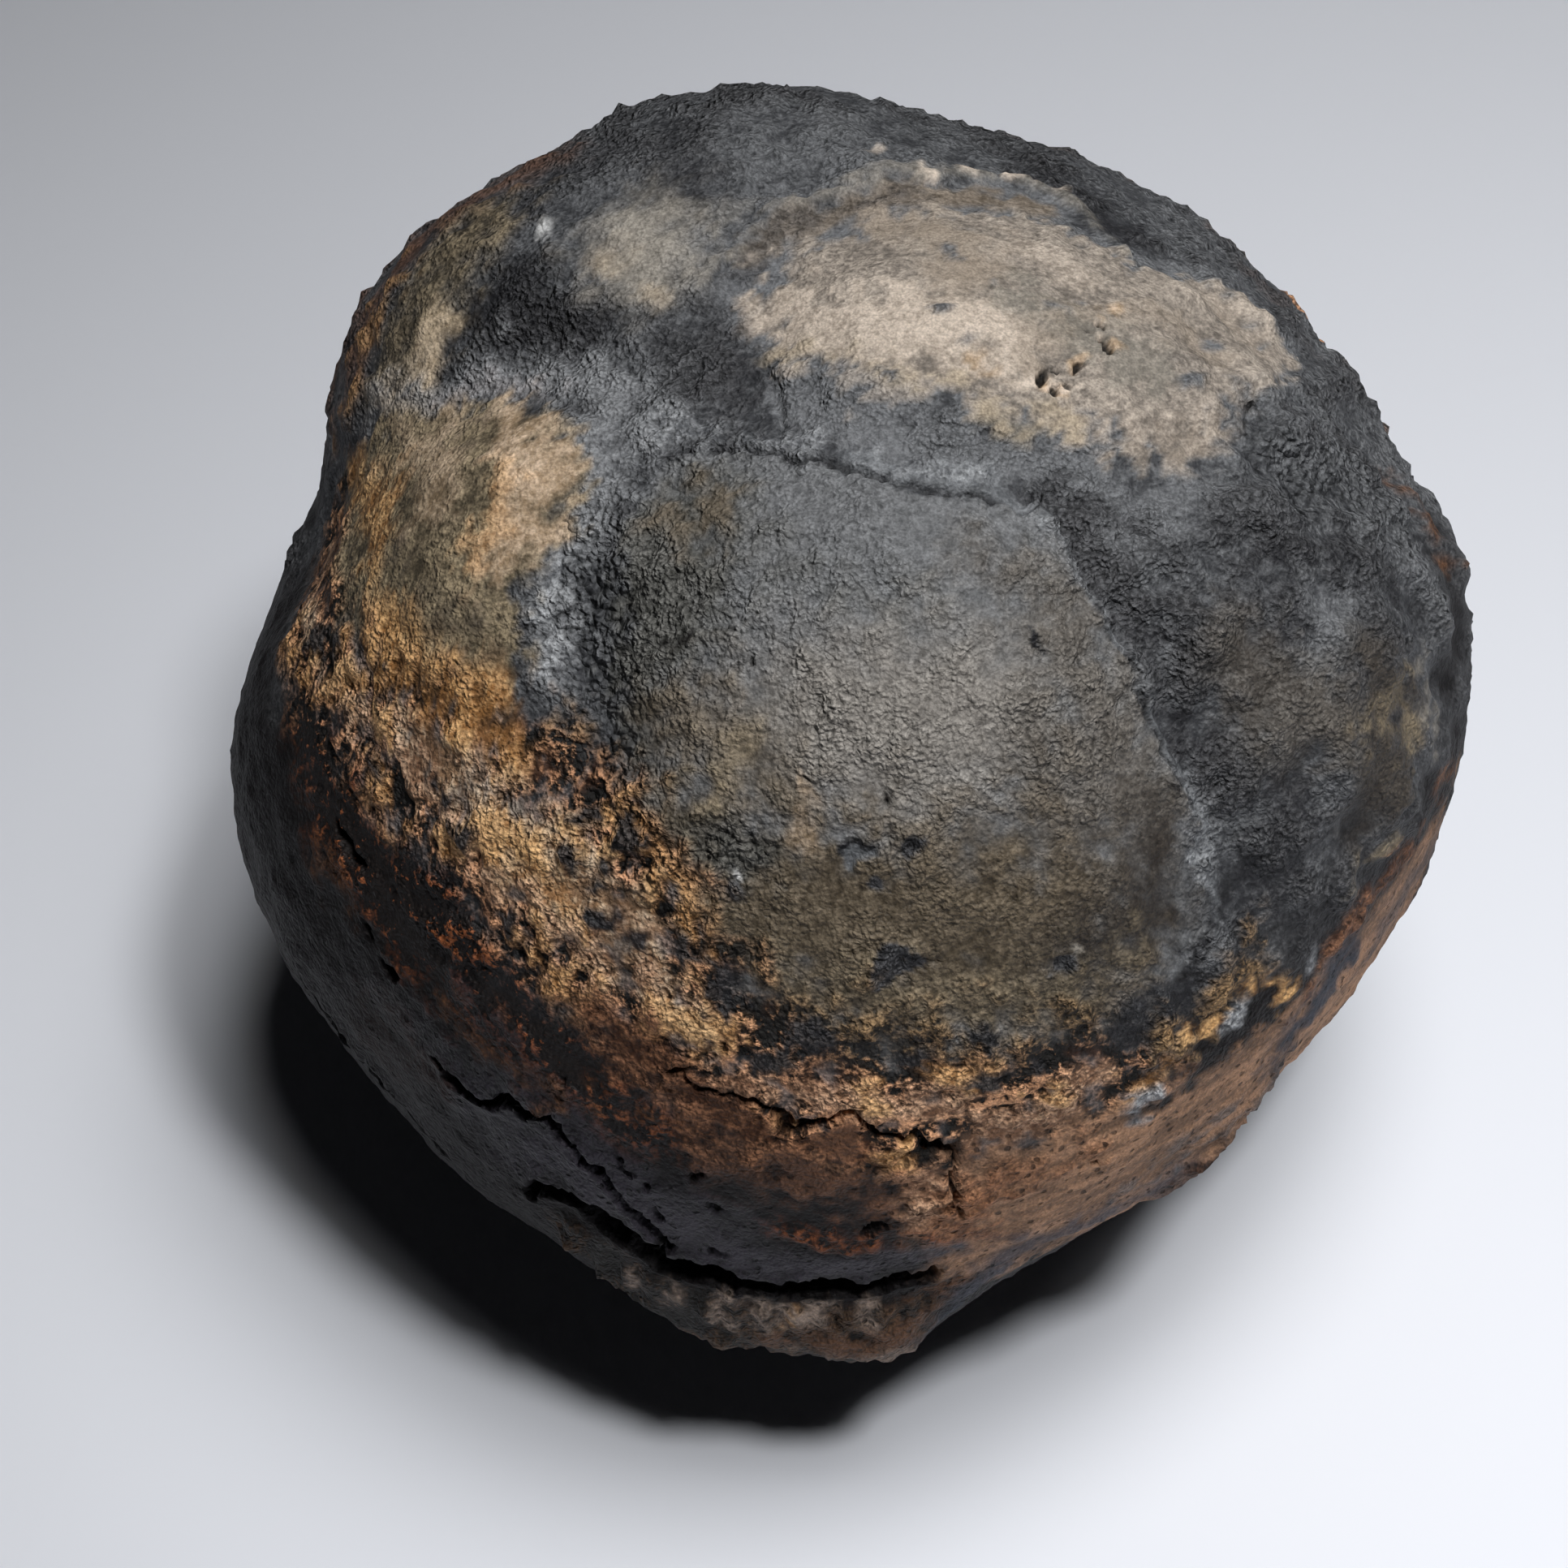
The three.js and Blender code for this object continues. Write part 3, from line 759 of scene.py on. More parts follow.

# %% [markdown]
# Behind the left lobe lies a smaller one, with a pale blotch, a dark hollow and a far side of brown
# stone and painted shade.
# In the valleys between the lobes a blue-grey mineral has settled as a bloom, and above the dome a
# smooth grey slab fills the seam.

# %% Upper left, and the valleys
VALLEY = [
    (-98, 38, 1), (-95, 48, 1.2), (-93, 55.5, 1.6), (-84, 62, 2.2), (-78, 66.5, 3), (-66, 65, 4),
    (-58, 61, 3.5), (-52, 57, 3), (-48, 53, 2.5), (-45, 49.5, 2), (-41, 46, 1.2),
]
lay([
    ("dark grey stone and shade", [(-58, 76, 3), (-75, 78, 3), (-92, 77, 2)], 2, 1.5, 0.9, 0.6),
    ("dark grey stone and shade", [(-104, 57, 5), (-98, 62, 4)], 3, 1.5, 1, 0.3),
    ("dark grey stone and shade", [(-150, 58, 4), (-140, 66, 3)], 3, 1.5, 0.6, 0.4),
    ("pale blotch", [(-128, 67, 4), (-120, 67, 5), (-116, 69, 4)], 4, 1.2, 0.85, 0.5),
    ("beige", [(-116, 65, 1.6)], 2, 0.5, 0.4, 0.6),
    ("beige", [(-105, 71, 0.7)], 1, 0.5, 0.4, 0.5),
    ("white", [(-120, 57.5, 0.8)], 0.5, 0.3, 1, 0.8),
    ("mottled ochre", [
        (-120, 50, 4), (-108, 48, 4), (-102, 42, 3), (-100, 38, 2),
    ], 3, 1.5, 0.9, 0.4),
    ("beige", [(-104, 49, 0.8), (-99, 46.5, 2), (-95.5, 44.5, 2.4), (-97, 41, 1.8)], 2, 1, 1, 0.65),
    # the far side: brown stone and painted shade
    ("brown stone", [(-135, 48, 3), (-120, 42, 3), (-110, 38, 3), (-104, 34, 3)], 3, 1.5, 0.8, 0.8),
    ("brown stone", [(-120, 32, 4), (-110, 27, 4)], 3, 2, 0.7, 0.6),
    ("orange stain", [(-112, 42, 0.6), (-107, 38, 0.8), (-103, 34, 0.8)], 1.5, 2.5, 0.35, 0.3),
    ("dark grey stone and shade", [(-98, 34, 1.8), (-96, 38, 1.8), (-93, 42, 1)], 1, 1, 0.9, 0.4),
    ("grey stone", VALLEY, 4, 1.5, 1, 1),
    ("blue-grey bloom", VALLEY, 1.5, 1.5, 0.25, 0.3),
    ("pale band", [(-95, 48, 0.5), (-92, 53.5, 0.8), (-84, 60, 0.6)], 1.2, 0.8, 0.6, 0.35),
    ("blue-grey bloom", [(-50, 56, 1), (-46, 51.5, 2.2), (-42, 48, 1.8)], 1.5, 1.5, 0.9, 0.45),
    ("blue-grey bloom", [(-46, 54, 1), (-42, 51, 1.5), (-40.5, 48.5, 1)], 1, 1.2, 0.9, 0.9),
    ("grey stone", [(-44, 55, 2), (-38, 50, 2.5), (-35, 45, 2), (-32, 41, 2)], 1.5, 1.5, 0.9, 0.35),
    ("blue-grey bloom", [
        (-60, 69, 1), (-45, 72.4, 1), (-21, 74.6, 1.2), (-9, 74.2, 1.4), (6, 73, 1.4),
    ], 0.8, 0.8, 0.6, 0.2),
    ("smooth slab", [
        (0, 73, 1.2), (12, 71.6, 1.6), (22, 70, 1.9), (33, 67.2, 1.5), (38, 65.2, 1),
    ], 0.5, 0.4, 0.95, 0.5),
    ("blue-grey bloom", [(14, 71.6, 0.5), (22, 70, 0.9), (30, 68.2, 0.5)], 0.8, 0.8, 0.55, 0.3),
    ("smooth slab", SEAM_RIDGE, 0.4, 0.3, 0.85, 0.45),
    ("blue-grey bloom", [(39.4, 62, 0.4), (38.6, 56, 0.5), (37.9, 50, 0.3)], 0.6, 0.5, 0.5, 0.4),
], mottle=0.12)
print("valleys painted")

# %% [markdown]
# The left lobe is stained ochre. Its right half is the brightest, its middle is shaded olive, and
# its foot turns orange where the crust begins.

# %% The left lobe
LEFT_LOBE = [
    (-97, 30), (-95, 41), (-91, 51), (-83, 58.5), (-73, 60.5), (-64, 61), (-58, 59.5), (-54, 56),
    (-53, 51.5), (-50, 48.5), (-46, 44), (-43, 41.5), (-40, 40), (-44, 35), (-52, 32), (-62, 32),
    (-75, 30), (-88, 26),
]
lay([
    ("mottled ochre", LEFT_LOBE, 1, 1.2, 1, 0.5),
    ("orange stain", [
        (-94, 34, 2), (-88, 38, 2.5), (-82, 42, 2.5), (-76, 40, 2.5),
    ], 2, 1.5, 0.7, 0.4),
    ("ochre", [(-90, 43, 2), (-84, 46, 2)], 2, 1.5, 0.45, 0.3),
    ("ochre", [(-90, 49, 1.5), (-80, 49, 2.2), (-74, 48, 2.2)], 2.5, 1.5, 0.65, 0.3),
    ("ochre", [
        (-84, 56, 1.2), (-76, 57, 2), (-66, 57, 3.2), (-60, 54.5, 2.8), (-58, 49.5, 2),
    ], 1.5, 1.4, 1, 0.42),
    ("orange stain", [(-70, 55, 1), (-62, 52, 1.2), (-60, 48, 1.2)], 1.5, 1.5, 0.5, 0.7),
    ("shaded olive skin", [(-83, 53, 0.8), (-80, 54, 0.8)], 1.5, 1.5, 0.6, 0.8),
    ("orange stain", [(-66, 36, 3), (-57, 38, 3), (-50, 40, 3), (-45, 39, 3)], 2.5, 1.5, 0.9, 0.5),
    ("shaded olive skin", [
        (-69, 43, 1.2), (-64, 42, 1.8), (-58, 42, 2), (-54, 44, 1.4),
    ], 2, 2, 0.8, 1),
    ("shaded olive skin", [(-52, 43, 1), (-49, 44.5, 0.8)], 1.5, 2, 0.6, 0.9),
], mottle=0.15)
print("left lobe painted")

# %% [markdown]
# A crust of tan, orange and peach crumbs runs like a sash from the left edge down to the front. It
# is thick along the middle, and breaks up into islands over black stone along both of its edges. So
# the share of crust grows with the depth inside the stroke, and the grain decides where it breaks.

# %% The sash of crust
SPECKLED = [
    (-37, 41, 1.5), (-31, 38.5, 3), (-26, 35.5, 3.4), (-21, 32, 3.6), (-17, 28.5, 3.8),
    (-10, 22.8, 4), (-2, 20.8, 3.8), (6, 19.8, 3.2), (14, 18.3, 3.4), (22, 17, 3.2), (29, 17, 2),
]
BRIGHT = [
    (-92, 27, 1.5), (-82, 27, 2.2), (-70, 28, 2.8), (-60, 30, 4), (-52, 31.5, 5.2), (-44, 32, 6),
    (-37, 31.8, 6.8), (-30, 30.5, 6.8), (-24, 27.5, 6.3), (-17, 23, 4.5), (-10, 17.6, 2.8),
    (-3, 14.3, 2.6), (4, 14, 3.2), (11, 12.5, 3.4), (18, 12, 3), (24, 12, 2),
]
bright = stroke(BRIGHT, loose_rays)
grainy = 0.12 * lumps + 0.2 * crumbs + 0.24 * layers
speckles = brush(SPECKLED, soft=2.5, ragged=2) * 0.9
coat("speckled stone", speckles, share=0.42 + 0.4 * grainy, mottle=0.05)
thickness = np.clip(bright + 2, 0, 5)
crust_share = 0.3 + 0.09 * thickness - 0.09 * blend(bearing, 6, 14) + 0.5 * grainy
coat("broken crust", blend(bright + 3 + lumps, -2.5, 2.5), crust_share, mottle=0.05)
thick_of_sash = blend(bright - 1.6 + lumps + crumbs, -1.5, 1.5) * (bearing < -12)
coat("tan crust", thick_of_sash, share=0.55 + 0.6 * grainy, mottle=0.08)
lay([
    ("orange stain", [
        (-62, 34.5, 2), (-54, 36.5, 2), (-47, 38, 2.5), (-41, 38, 1.5),
    ], 2, 2, 0.9, 0.4),
    ("orange stain", [(-38, 31, 2.5), (-32, 29, 2.5), (-26, 27.5, 2)], 2, 2, 0.6, 0.35),
    ("pale band", [(-43, 34.6, 1.2), (-36, 34.4, 1)], 1.2, 1.2, 0.5, 0.6),
    ("peach crust", [
        (-68, 28, 1.2), (-60, 29.7, 1.6), (-52, 30, 1.6), (-45, 28.8, 1.8), (-40, 28.3, 1.6),
    ], 1, 1.5, 0.8, 0.5),
    ("peach crust", [
        (-34, 26.8, 1.2), (-30, 25.5, 1.2), (-24.6, 25, 1.2), (-17.7, 23.4, 1),
    ], 1, 1.5, 0.8, 0.5),
    ("peach crust", [
        (-13, 16.6, 0.8), (-5, 15.6, 1.1), (2, 14.8, 1.3), (6, 15.4, 2), (9, 14.8, 1.6),
    ], 1.2, 1.2, 0.9, 0.5),
    ("peach crust", [
        (9, 9.5, 1.8), (13, 9.5, 2.2), (17, 11.5, 2.2), (22, 12.6, 1.8),
    ], 1.5, 1.2, 1, 0.4),
    ("peach crust", [(3, 6.5, 1.4), (6, 6, 1.6), (4, 3.6, 0.8)], 1, 1.2, 1, 0.5),
], mottle=0.15)
print("the bright crust covers", (bright > 0).sum(), "points")

# %% [markdown]
# No crust is evenly coloured, so soft clouds of orange, brown and grey go over it. Then come the
# islands of dark stone that show through.

# %% Clouds and islands on the crust
on_crust = blend(bright + 3, -2, 2)
orange_cloud = blend(swell + 0.6 * lumps + 0.4 * crumbs, 0.4, 1.4)
brown_cloud = blend(-swell + 0.6 * wide + 0.6 * crumbs, 0.8, 1.8)
grey_cloud = blend(-lumps + 0.6 * jitter[:, 0], 1.2, 1.9)
coat("orange stain", on_crust * orange_cloud * 0.75, share=0.45)
coat("warm brown stone", on_crust * brown_cloud * 0.5)
coat("grey stone", on_crust * grey_cloud * 0.7, share=0.6)
LONG_ISLANDS = [
    [(-49, 31.2, 0.3), (-46, 30.5, 0.7), (-42.5, 29, 0.5)],
    [(-34.8, 24.8, 0.4), (-33.5, 23.4, 0.4)], [(-47, 24, 2), (-43, 23.5, 1.4)],
    [(-74, 28, 1.3), (-70, 31, 0.9)], [(11.5, 16.4, 1), (13, 16, 0.8)],
]
ROUND_ISLANDS = [
    (-26.5, 31, 1.6), (-21.5, 26.8, 1.2), (-24.5, 36, 0.9), (-29, 36.5, 1), (-60, 33.5, 1),
    (-24, 29, 0.8), (-11.5, 25.5, 1.8), (-8, 18.8, 1.4), (-4, 22.3, 1.8), (5.5, 19.9, 1.3),
    (11, 21.5, 1), (16, 17, 1.2), (-17, 28.5, 1.6), (-31, 32.6, 0.7), (-66, 33.6, 0.7),
    (-56, 26, 1), (-64, 26, 1),
]
for places in LONG_ISLANDS + [[place] for place in ROUND_ISLANDS]:
    coat("dark grey stone and shade", brush(places, soft=0.35) * 0.95, share=0.25)
print(len(LONG_ISLANDS) + len(ROUND_ISLANDS), "islands painted")

# %% [markdown]
# Below the sash the stone turns from brown to bare slate. Rust has seeped into the slate as specks,
# which thin out downwards. The lower right flank is smooth tan stone with fine level beds.

# %% Below the sash
FLANK = [
    (8, 8), (18, 9.5), (24, 9), (29, 6.5), (34, 7), (40, 8), (46, 9), (52, 9), (62, 9), (76, 10),
    (98, 6), (92, -18), (60, -22), (40, -21), (25, -18), (14, -15), (6, -8), (5, 0),
]
RUSTY = [(-66, 22, 2), (-54, 19, 4), (-42, 18, 5), (-34, 15, 4.5), (-25, 12, 3.5), (-18, 9, 2)]
WARM_HEM = [(-24, 20, 2), (-18, 17, 2.6), (-12, 12.5, 2.6), (-5, 11, 2), (1, 10, 1.6)]
BROWN_FRONT = [(-13, 9, 2), (-6, 7.5, 2.8), (0, 5, 3), (2, 1, 2)]
coat("rust specks", brush(RUSTY, soft=3, ragged=1.5), share=0.2 + 0.35 * grainy, mottle=0.08)
end_of_flank = 1 - blend(bearing + 7 * swell + 3 * lumps, 68, 84)
coat("tan", brush(FLANK, soft=1.5) * end_of_flank, share=0.5 + 0.25 * layers)
coat("warm brown stone", brush(WARM_HEM, soft=1.5), share=0.4 + 0.7 * grainy)
brown_share = 0.55 + 0.5 * grainy
coat("brown stone", brush(BROWN_FRONT, soft=2, ragged=1.5), brown_share, mottle=0.15)
lay([
    ("rust", [(-57, 15, 1.8), (-54, 13, 1.4)], 1.5, 1, 0.7, 0.5),
    ("warm brown stone", [(-14, 10.5, 1), (-8, 9.6, 1)], 1.2, 1, 0.7, 0.35),
    ("brown stone", [(-12, 5, 2)], 1.5, 1, 0.8, 0.5),
    ("brown stone", [(-23, 19, 1.8), (-18, 16.5, 2), (-12, 13, 1.5)], 2, 1.5, 0.55, 0.45),
    ("black skin and shade", [(-3, 10.8, 1.4), (-1, 10.6, 1)], 1, 1, 0.6, 0.9),
    ("warm brown stone", [(4, 6, 2), (7, 3, 3), (10, 0, 3.4), (10, -4, 2.5)], 1.8, 1.5, 0.9, 0.6),
    ("peach crust", [(5, 4.5, 1.8), (6, 2, 1.4)], 1.5, 1.2, 0.7, 0.5),
    ("warm brown stone", [(14, 4, 2.5), (20, 4, 2)], 2, 1.5, 0.6, 0.5),
    ("rust specks", [(-7, -0.8, 1), (0, -1.6, 1), (6, -2.6, 0.8)], 1.5, 1, 0.7, 0.35),
    ("dull tan", [(52, 7, 3.4), (48, 3, 3.4), (44, 0, 2.4)], 3, 1.5, 1, 0.4),
    ("dull tan", [(40, -13, 3), (26, -12, 3), (14, -11, 3)], 3, 1.5, 0.85, 0.5),
    ("dull tan", [(62, 2, 4), (72, 0, 4)], 3, 1.5, 0.6, 0.5),
    ("grey stone", [(28, -8, 1.6), (33, -5, 1.8), (39, -2, 1.4)], 1.5, 2, 0.55, 0.4),
    ("dark grey stone and shade", [(38, -7, 1), (46, -4, 1)], 1, 1.5, 0.6, 0.5),
])
spots("rust", [
    (-35, 8.6, 1.3), (-33, 15, 1), (-24, 13.4, 1), (-22.5, 10.6, 0.7), (-19.5, 11, 0.5),
    (-39, 12, 1),
], soft=0.8, ragged=0.8)
print("below the sash painted")

# %% [markdown]
# The right lobe is dark grey, browner where it bulges, with a black belt beneath it and orange
# specks where that meets the sash. The joint between it and the dome is dark on the lobe's side,
# with painted shade where the lobe lies lower.

# %% The right side
lay([
    ("dark grey stone and shade", [
        (26, 17.5, 3), (29, 15, 2.5), (34, 20, 3), (40, 22, 3.5), (44, 27, 3),
    ], 1.5, 1.5, 1, 0.25),
    # painted shade beside the joint, where the lobe lies lower than the dome
    ("dark grey stone and shade", [
        (42.5, 60, 1.4), (42, 55, 1.4), (41, 49, 1.4), (41, 42, 2), (41, 36, 2),
    ], 1.5, 1, 0.8, 0.6),
    ("dark grey stone and shade", [(54, 17, 4), (48, 14, 3), (58, 14, 3)], 3, 1.5, 0.9, 0.4),
    ("grey stone", [(51, 29.4, 2.4), (50, 24, 2)], 2, 1.5, 0.8, 0.9),
    ("blue-grey bloom", [(37, 22, 0.4), (38, 29, 0.5), (38.5, 33, 0.4)], 0.8, 0.6, 0.3, 0.3),
    ("blue-grey bloom", [(41, 14, 0.8), (44, 30, 0.6)], 1, 1, 0.3, 0.3),
    ("grey stone", [(32, 18.5, 1.3), (36, 20.5, 1.5), (40, 23, 1)], 1.5, 1.5, 0.6, 0.7),
    ("speckled stone", [
        (29, 14.5, 1.4), (33.5, 14, 2), (38, 15.5, 2.2), (40, 19, 1.2),
    ], 1.5, 1.5, 1, 0.6),
    ("brown skin", [(50, 44, 3), (51, 39, 5), (54, 35, 4), (48, 35, 3)], 3, 1.5, 0.8, 0.3),
    ("shaded olive skin", [(64, 33, 3), (60, 29, 4), (57, 24, 4), (66, 27, 3)], 3, 1.5, 0.9, 0.6),
    ("mottled ochre", [(64, 25, 1.2), (66, 29, 0.8), (58, 31, 0.8)], 1.2, 1.5, 0.6, 0.7),
    ("mottled ochre", [(55, 18, 1), (58, 18, 1.2)], 1.2, 1.2, 0.7, 0.7),
    ("grey stone", [(79, 53, 3), (78, 46, 4), (80, 40, 4), (81, 34, 3)], 2, 1.5, 0.9, 0.6),
    # painted shadow under the band of beads
    ("dark grey stone and shade", [
        (60, 48, 1.5), (66, 45, 2.2), (71, 40, 2.4), (73, 35, 2), (68, 34, 1.6),
    ], 2, 1.5, 0.8, 0.3),
    ("dark grey stone and shade", [(44, 51, 1.2), (46, 47, 1.6), (44, 42, 1.6)], 2, 2, 0.7, 0.4),
    ("dark grey stone and shade", [(42, 38, 2), (44, 33, 2.5), (48, 29, 3), (46, 23, 3)], 2.5, 2, 0.8, 0.45),
    ("grey stone", [(63, 41, 2), (59, 39.5, 1.5)], 2, 1.5, 0.9, 1),
    ("grey stone", [(60, 55, 2.5), (50, 57, 2)], 2, 1.5, 0.7, 0.9),
    ("shaded olive skin", [(54, 33, 3), (58, 34, 3.4), (62, 30, 3)], 3, 2, 0.5, 0.9),
    ("pale blotch", [(72, 29, 0.6), (70, 25, 0.7), (68, 21, 0.5)], 1, 1.2, 0.5, 0.3),
    ("warm brown stone", [
        (47, 9, 1.5), (56, 12, 1.5), (64, 13, 1), (70, 14, 0.8),
    ], 1.5, 1.5, 0.8, 0.45),
    ("rust", [(92, 31, 1), (88, 28, 1.2), (86, 26, 0.8)], 1, 1, 0.9, 0.6),
    ("brown stone", [(33, -13, 1), (40, -10, 1)], 1.2, 0.8, 1, 0.25),
], mottle=0.16)
spots("orange stain", [
    (31, 14.5, 0.9), (33.5, 13, 1.1), (38, 13.4, 0.8), (43, 10.5, 1.6), (41, 13, 0.9),
], soft=0.8, ragged=0.8, share=0.7)
spots("blue-grey bloom", [
    (27, 9, 1.2), (26.5, 6.6, 0.8), (36.5, 12, 1), (47, 12, 1.3),
], soft=0.8, ragged=0.8, share=0.35)
print("right side painted")

# %% [markdown]
# Low on the front the slate is bare. It is nearly black to the left, with painted shade over that
# face, and polished grey above the ledge gap. The ledge below the gap is the broken wall itself:
# dark brown, with the pale ends of its plates in a row.

# %% The slate face and the ledge
SLATE_FACE = [
    (-30, 12), (-20, 8), (-12, 3), (-8, -1), (-8, -8), (-24, -2), (-34, -4), (-46, -6), (-54, 0),
    (-50, 8), (-38, 8),
]
PLATES = [
    (-20, -12, 0.7), (-16, -12.5, 0.9), (-11, -13.2, 0.8), (-8.4, -13.4, 0.8), (-5.6, -13.8, 0.9),
    (-3.2, -13.8, 1.2), (0.8, -13.4, 0.9),
]
lay([
    ("slate", SLATE_FACE, 3, 1.5, 1, 0.45),
    # black skin and painted shade over the low left face
    ("black skin and shade", [
        (-90, 18, 5), (-78, 14, 7), (-66, 9, 7), (-56, 4, 7), (-48, 0, 6), (-38, -4, 4),
    ], 4, 1, 1, 0.5),
    ("slate", [
        (-26, 2, 3), (-18, -1, 3), (-10, -6, 2), (0, -6.5, 1.8), (10, -6, 1.6),
    ], 2, 0.8, 1, 0.8),
    ("brown stone", [(-46, 5, 3), (-48, -1, 3), (-40, 3, 2)], 3, 1, 0.25, 0.1),
    ("slate", [(-37, 15, 1.8), (-33, 13.5, 1.8)], 1.5, 1.5, 0.8, 0.3),
    # more painted shade on the low left face
    ("black skin and shade", [(-52, 2, 3), (-46, -1, 3)], 3, 1, 0.8, 0.9),
    ("rust", [(-36, 11.5, 1.6), (-33, 10, 1.2), (-28, 9, 1)], 1.2, 1.2, 0.7, 0.4),
])
coat("broken wall", on_ledge, share=0.25 + 0.25 * blend(bearing, -14, -6), mottle=0.2)
for plate_bearing, plate_rise, width in PLATES:
    plate = [(plate_bearing, plate_rise + 1, width), (plate_bearing, plate_rise - 1.6, width)]
    coat("plate end", brush(plate, soft=0.4, ragged=0.3))
lay([
    ("plate end", [(-4, -12.6, 0.7), (-4, -14.4, 0.7)], 0.5, 0.4, 1, 0.9),
    ("orange stain", [(-5.2, -12.8, 0.2), (-5.3, -15.4, 0.25)], 0.3, 0.2, 0.8, 0.4),
    ("brown stone", [(-6, -18, 1.4), (2, -18, 2), (8, -15, 1.4)], 1.5, 1.2, 0.6, 0.9),
    ("plate end", [(-6, -20.5, 0.5), (0, -21, 0.8), (4, -20.5, 0.8)], 0.8, 0.8, 0.6, 0.5),
    ("rust", [(7, -12.5, 1), (10, -12.5, 1)], 1, 0.8, 0.8, 0.5),
    ("dull tan", [(12, -14, 1.5), (8, -19, 1.5)], 1.5, 1, 0.8, 0.3),
])
# Painted shade: the beds of cracks, seams and pits are laid nearly black.
coat("black skin and shade", blend(groove_shade, 0.3, 0.9), share=0.1)
print("ledge painted")

# %% [markdown]
# ## Sculpted grain
# Each mineral has its own unevenness down to about 1.5 mm, in patches that are rougher and smoother
# than the rest, and crust stands a little above the black stone between its islands. The right lobe
# also undulates in swells. Anything finer is left to the material.

# %% Unevenness of each ground
CRUST_RISE = 1.2  # of a whole crust, as a multiple of its unevenness
SWELL_HEIGHT = 0.12
LOBE_SWELL_HEIGHT = 0.35

rough *= np.clip(1 + 0.3 * swell + 0.15 * lumps, 0.35, 1.4)
thick = blend(pale_share + 0.15 * crumbs, 0.3, 0.7)
grit = rough * (0.55 * lumps + 0.75 * crumbs + 0.3 * layers)
relief += grit + CRUST_RISE * crisp * rough * thick
right_lobe = blend(bearing, 39, 47) * (1 - rear) * blend(rise, 12, 22) * (1 - blend(rise, 54, 64))
relief += (SWELL_HEIGHT + LOBE_SWELL_HEIGHT * right_lobe) * swell
print("relief runs from", relief.min().round(1), "to", relief.max().round(1), "mm")

# %% [markdown]
# The sculpted points go back into the mesh, moved out or in along their normals, and no point may
# sink below the resting spot.

# %% Put the sculpted points back
points += relief[:, None] * normals
points[:, 2] = np.maximum(points[:, 2], low.z / MM)
stone_mesh.vertices.foreach_set("co", (points * MM).astype(np.float32).ravel())
stone_mesh.update()
print("the stone stands", round(points[:, 2].max() - low.z / MM, 1), "mm high")

# %% [markdown]
# The paint has to reach the material too. An image would need the skin laid out flat, but a mesh
# can carry a number or a colour on each point, which the material reads by name. Two of these say
# where the skin is pebbly, beside the dome and on the right shoulder, and where the low stone is
# pitted.

# %% Keep the paint on the points
def keep(name, values):
    """Stores one number or colour for each point, for the material to read."""
    values = np.clip(values, 0, 1)
    if values.ndim == 2:
        values = np.hstack([values, np.ones((count, 1))])
        layer = stone_mesh.attributes.new(name, "FLOAT_COLOR", "POINT")
        layer.data.foreach_set("color", values.astype(np.float32).ravel())
    else:
        layer = stone_mesh.attributes.new(name, "FLOAT", "POINT")
        layer.data.foreach_set("value", values.astype(np.float32))


pebbly = np.max([
    brush([(84, 56, 2), (79, 51, 3), (78, 46, 4), (82, 40, 4), (83, 34, 3)], 2, 1) * (crown < 0),
    brush([(-15, 37, 2), (-11, 37.5, 2.2)], 1, 0.5),
    brush([
        (-50, 58, 2.5), (-42, 54, 3), (-36, 48, 3), (-31, 42, 3), (-27, 37, 2.5), (-21, 32, 2),
    ], 2, 1),
], axis=0)
pitted = (1 - blend(dome, -1, 1)) * (1 - blend(rise, 8, 18)) * (1 - rear * 0.5)
LAYERS = {
    "dark mineral": dark, "pale mineral": pale, "pale share": pale_share, "crispness": crisp,
    "unevenness": rough, "dullness": dull, "groove_shade": groove_shade, "pebbly": pebbly, "pitted": pitted,
}
for name, values in LAYERS.items():
    keep(name, values)
print(len(stone_mesh.attributes), "layers on the mesh")

# %% [markdown]
# ## The material
# One material does for all the minerals, because it only asks the points what is there. Its nodes
# are wired by a few helpers, which read like sums.

# %% A new material and its helpers
stone_paint = bpy.data.materials.new("fossil stone")
stone_paint.use_nodes = True
nodes = stone_paint.node_tree.nodes
links = stone_paint.node_tree.links


def add(kind, settings=None, **inputs):
    """Adds a node, sets it up, and wires or sets its inputs by name, or by _number."""
    made = nodes.new(kind)
    for name, value in (settings or {}).items():
        setattr(made, name, value)
    for name, value in inputs.items():
        socket = made.inputs[int(name[1:])] if name[0] == "_" else made.inputs[name]
        if isinstance(value, bpy.types.NodeSocket):
            links.new(value, socket)
        else:
            socket.default_value = value
    return made


def stored(name, output="Fac"):
    """What was stored on the mesh under this name."""
    return add("ShaderNodeAttribute", {"attribute_name": name}).outputs[output]


def sums(operation, a, b, c=0.0):
    """One step of arithmetic on numbers or sockets."""
    return add("ShaderNodeMath", {"operation": operation}, _0=a, _1=b, _2=c).outputs[0]


def ramp(value, start, end, low_value=0.0, high_value=1.0):
    """A soft step of value from start to end."""
    settings = {"interpolation_type": "SMOOTHSTEP"}
    made = add(
        "ShaderNodeMapRange", settings, _0=value, _1=start, _2=end, _3=low_value, _4=high_value
    )
    return made.outputs[0]


print("helpers ready in", stone_paint.name)

# %% [markdown]
# The grain is made of a few patterns, each the size of something on the stone: clouds and grains
# for the mixing of minerals, thin creases, a leathery hide, and pebbles with now and then an open
# pore. The pebbles' places are bent a little first, so that none comes out as a neat polygon.

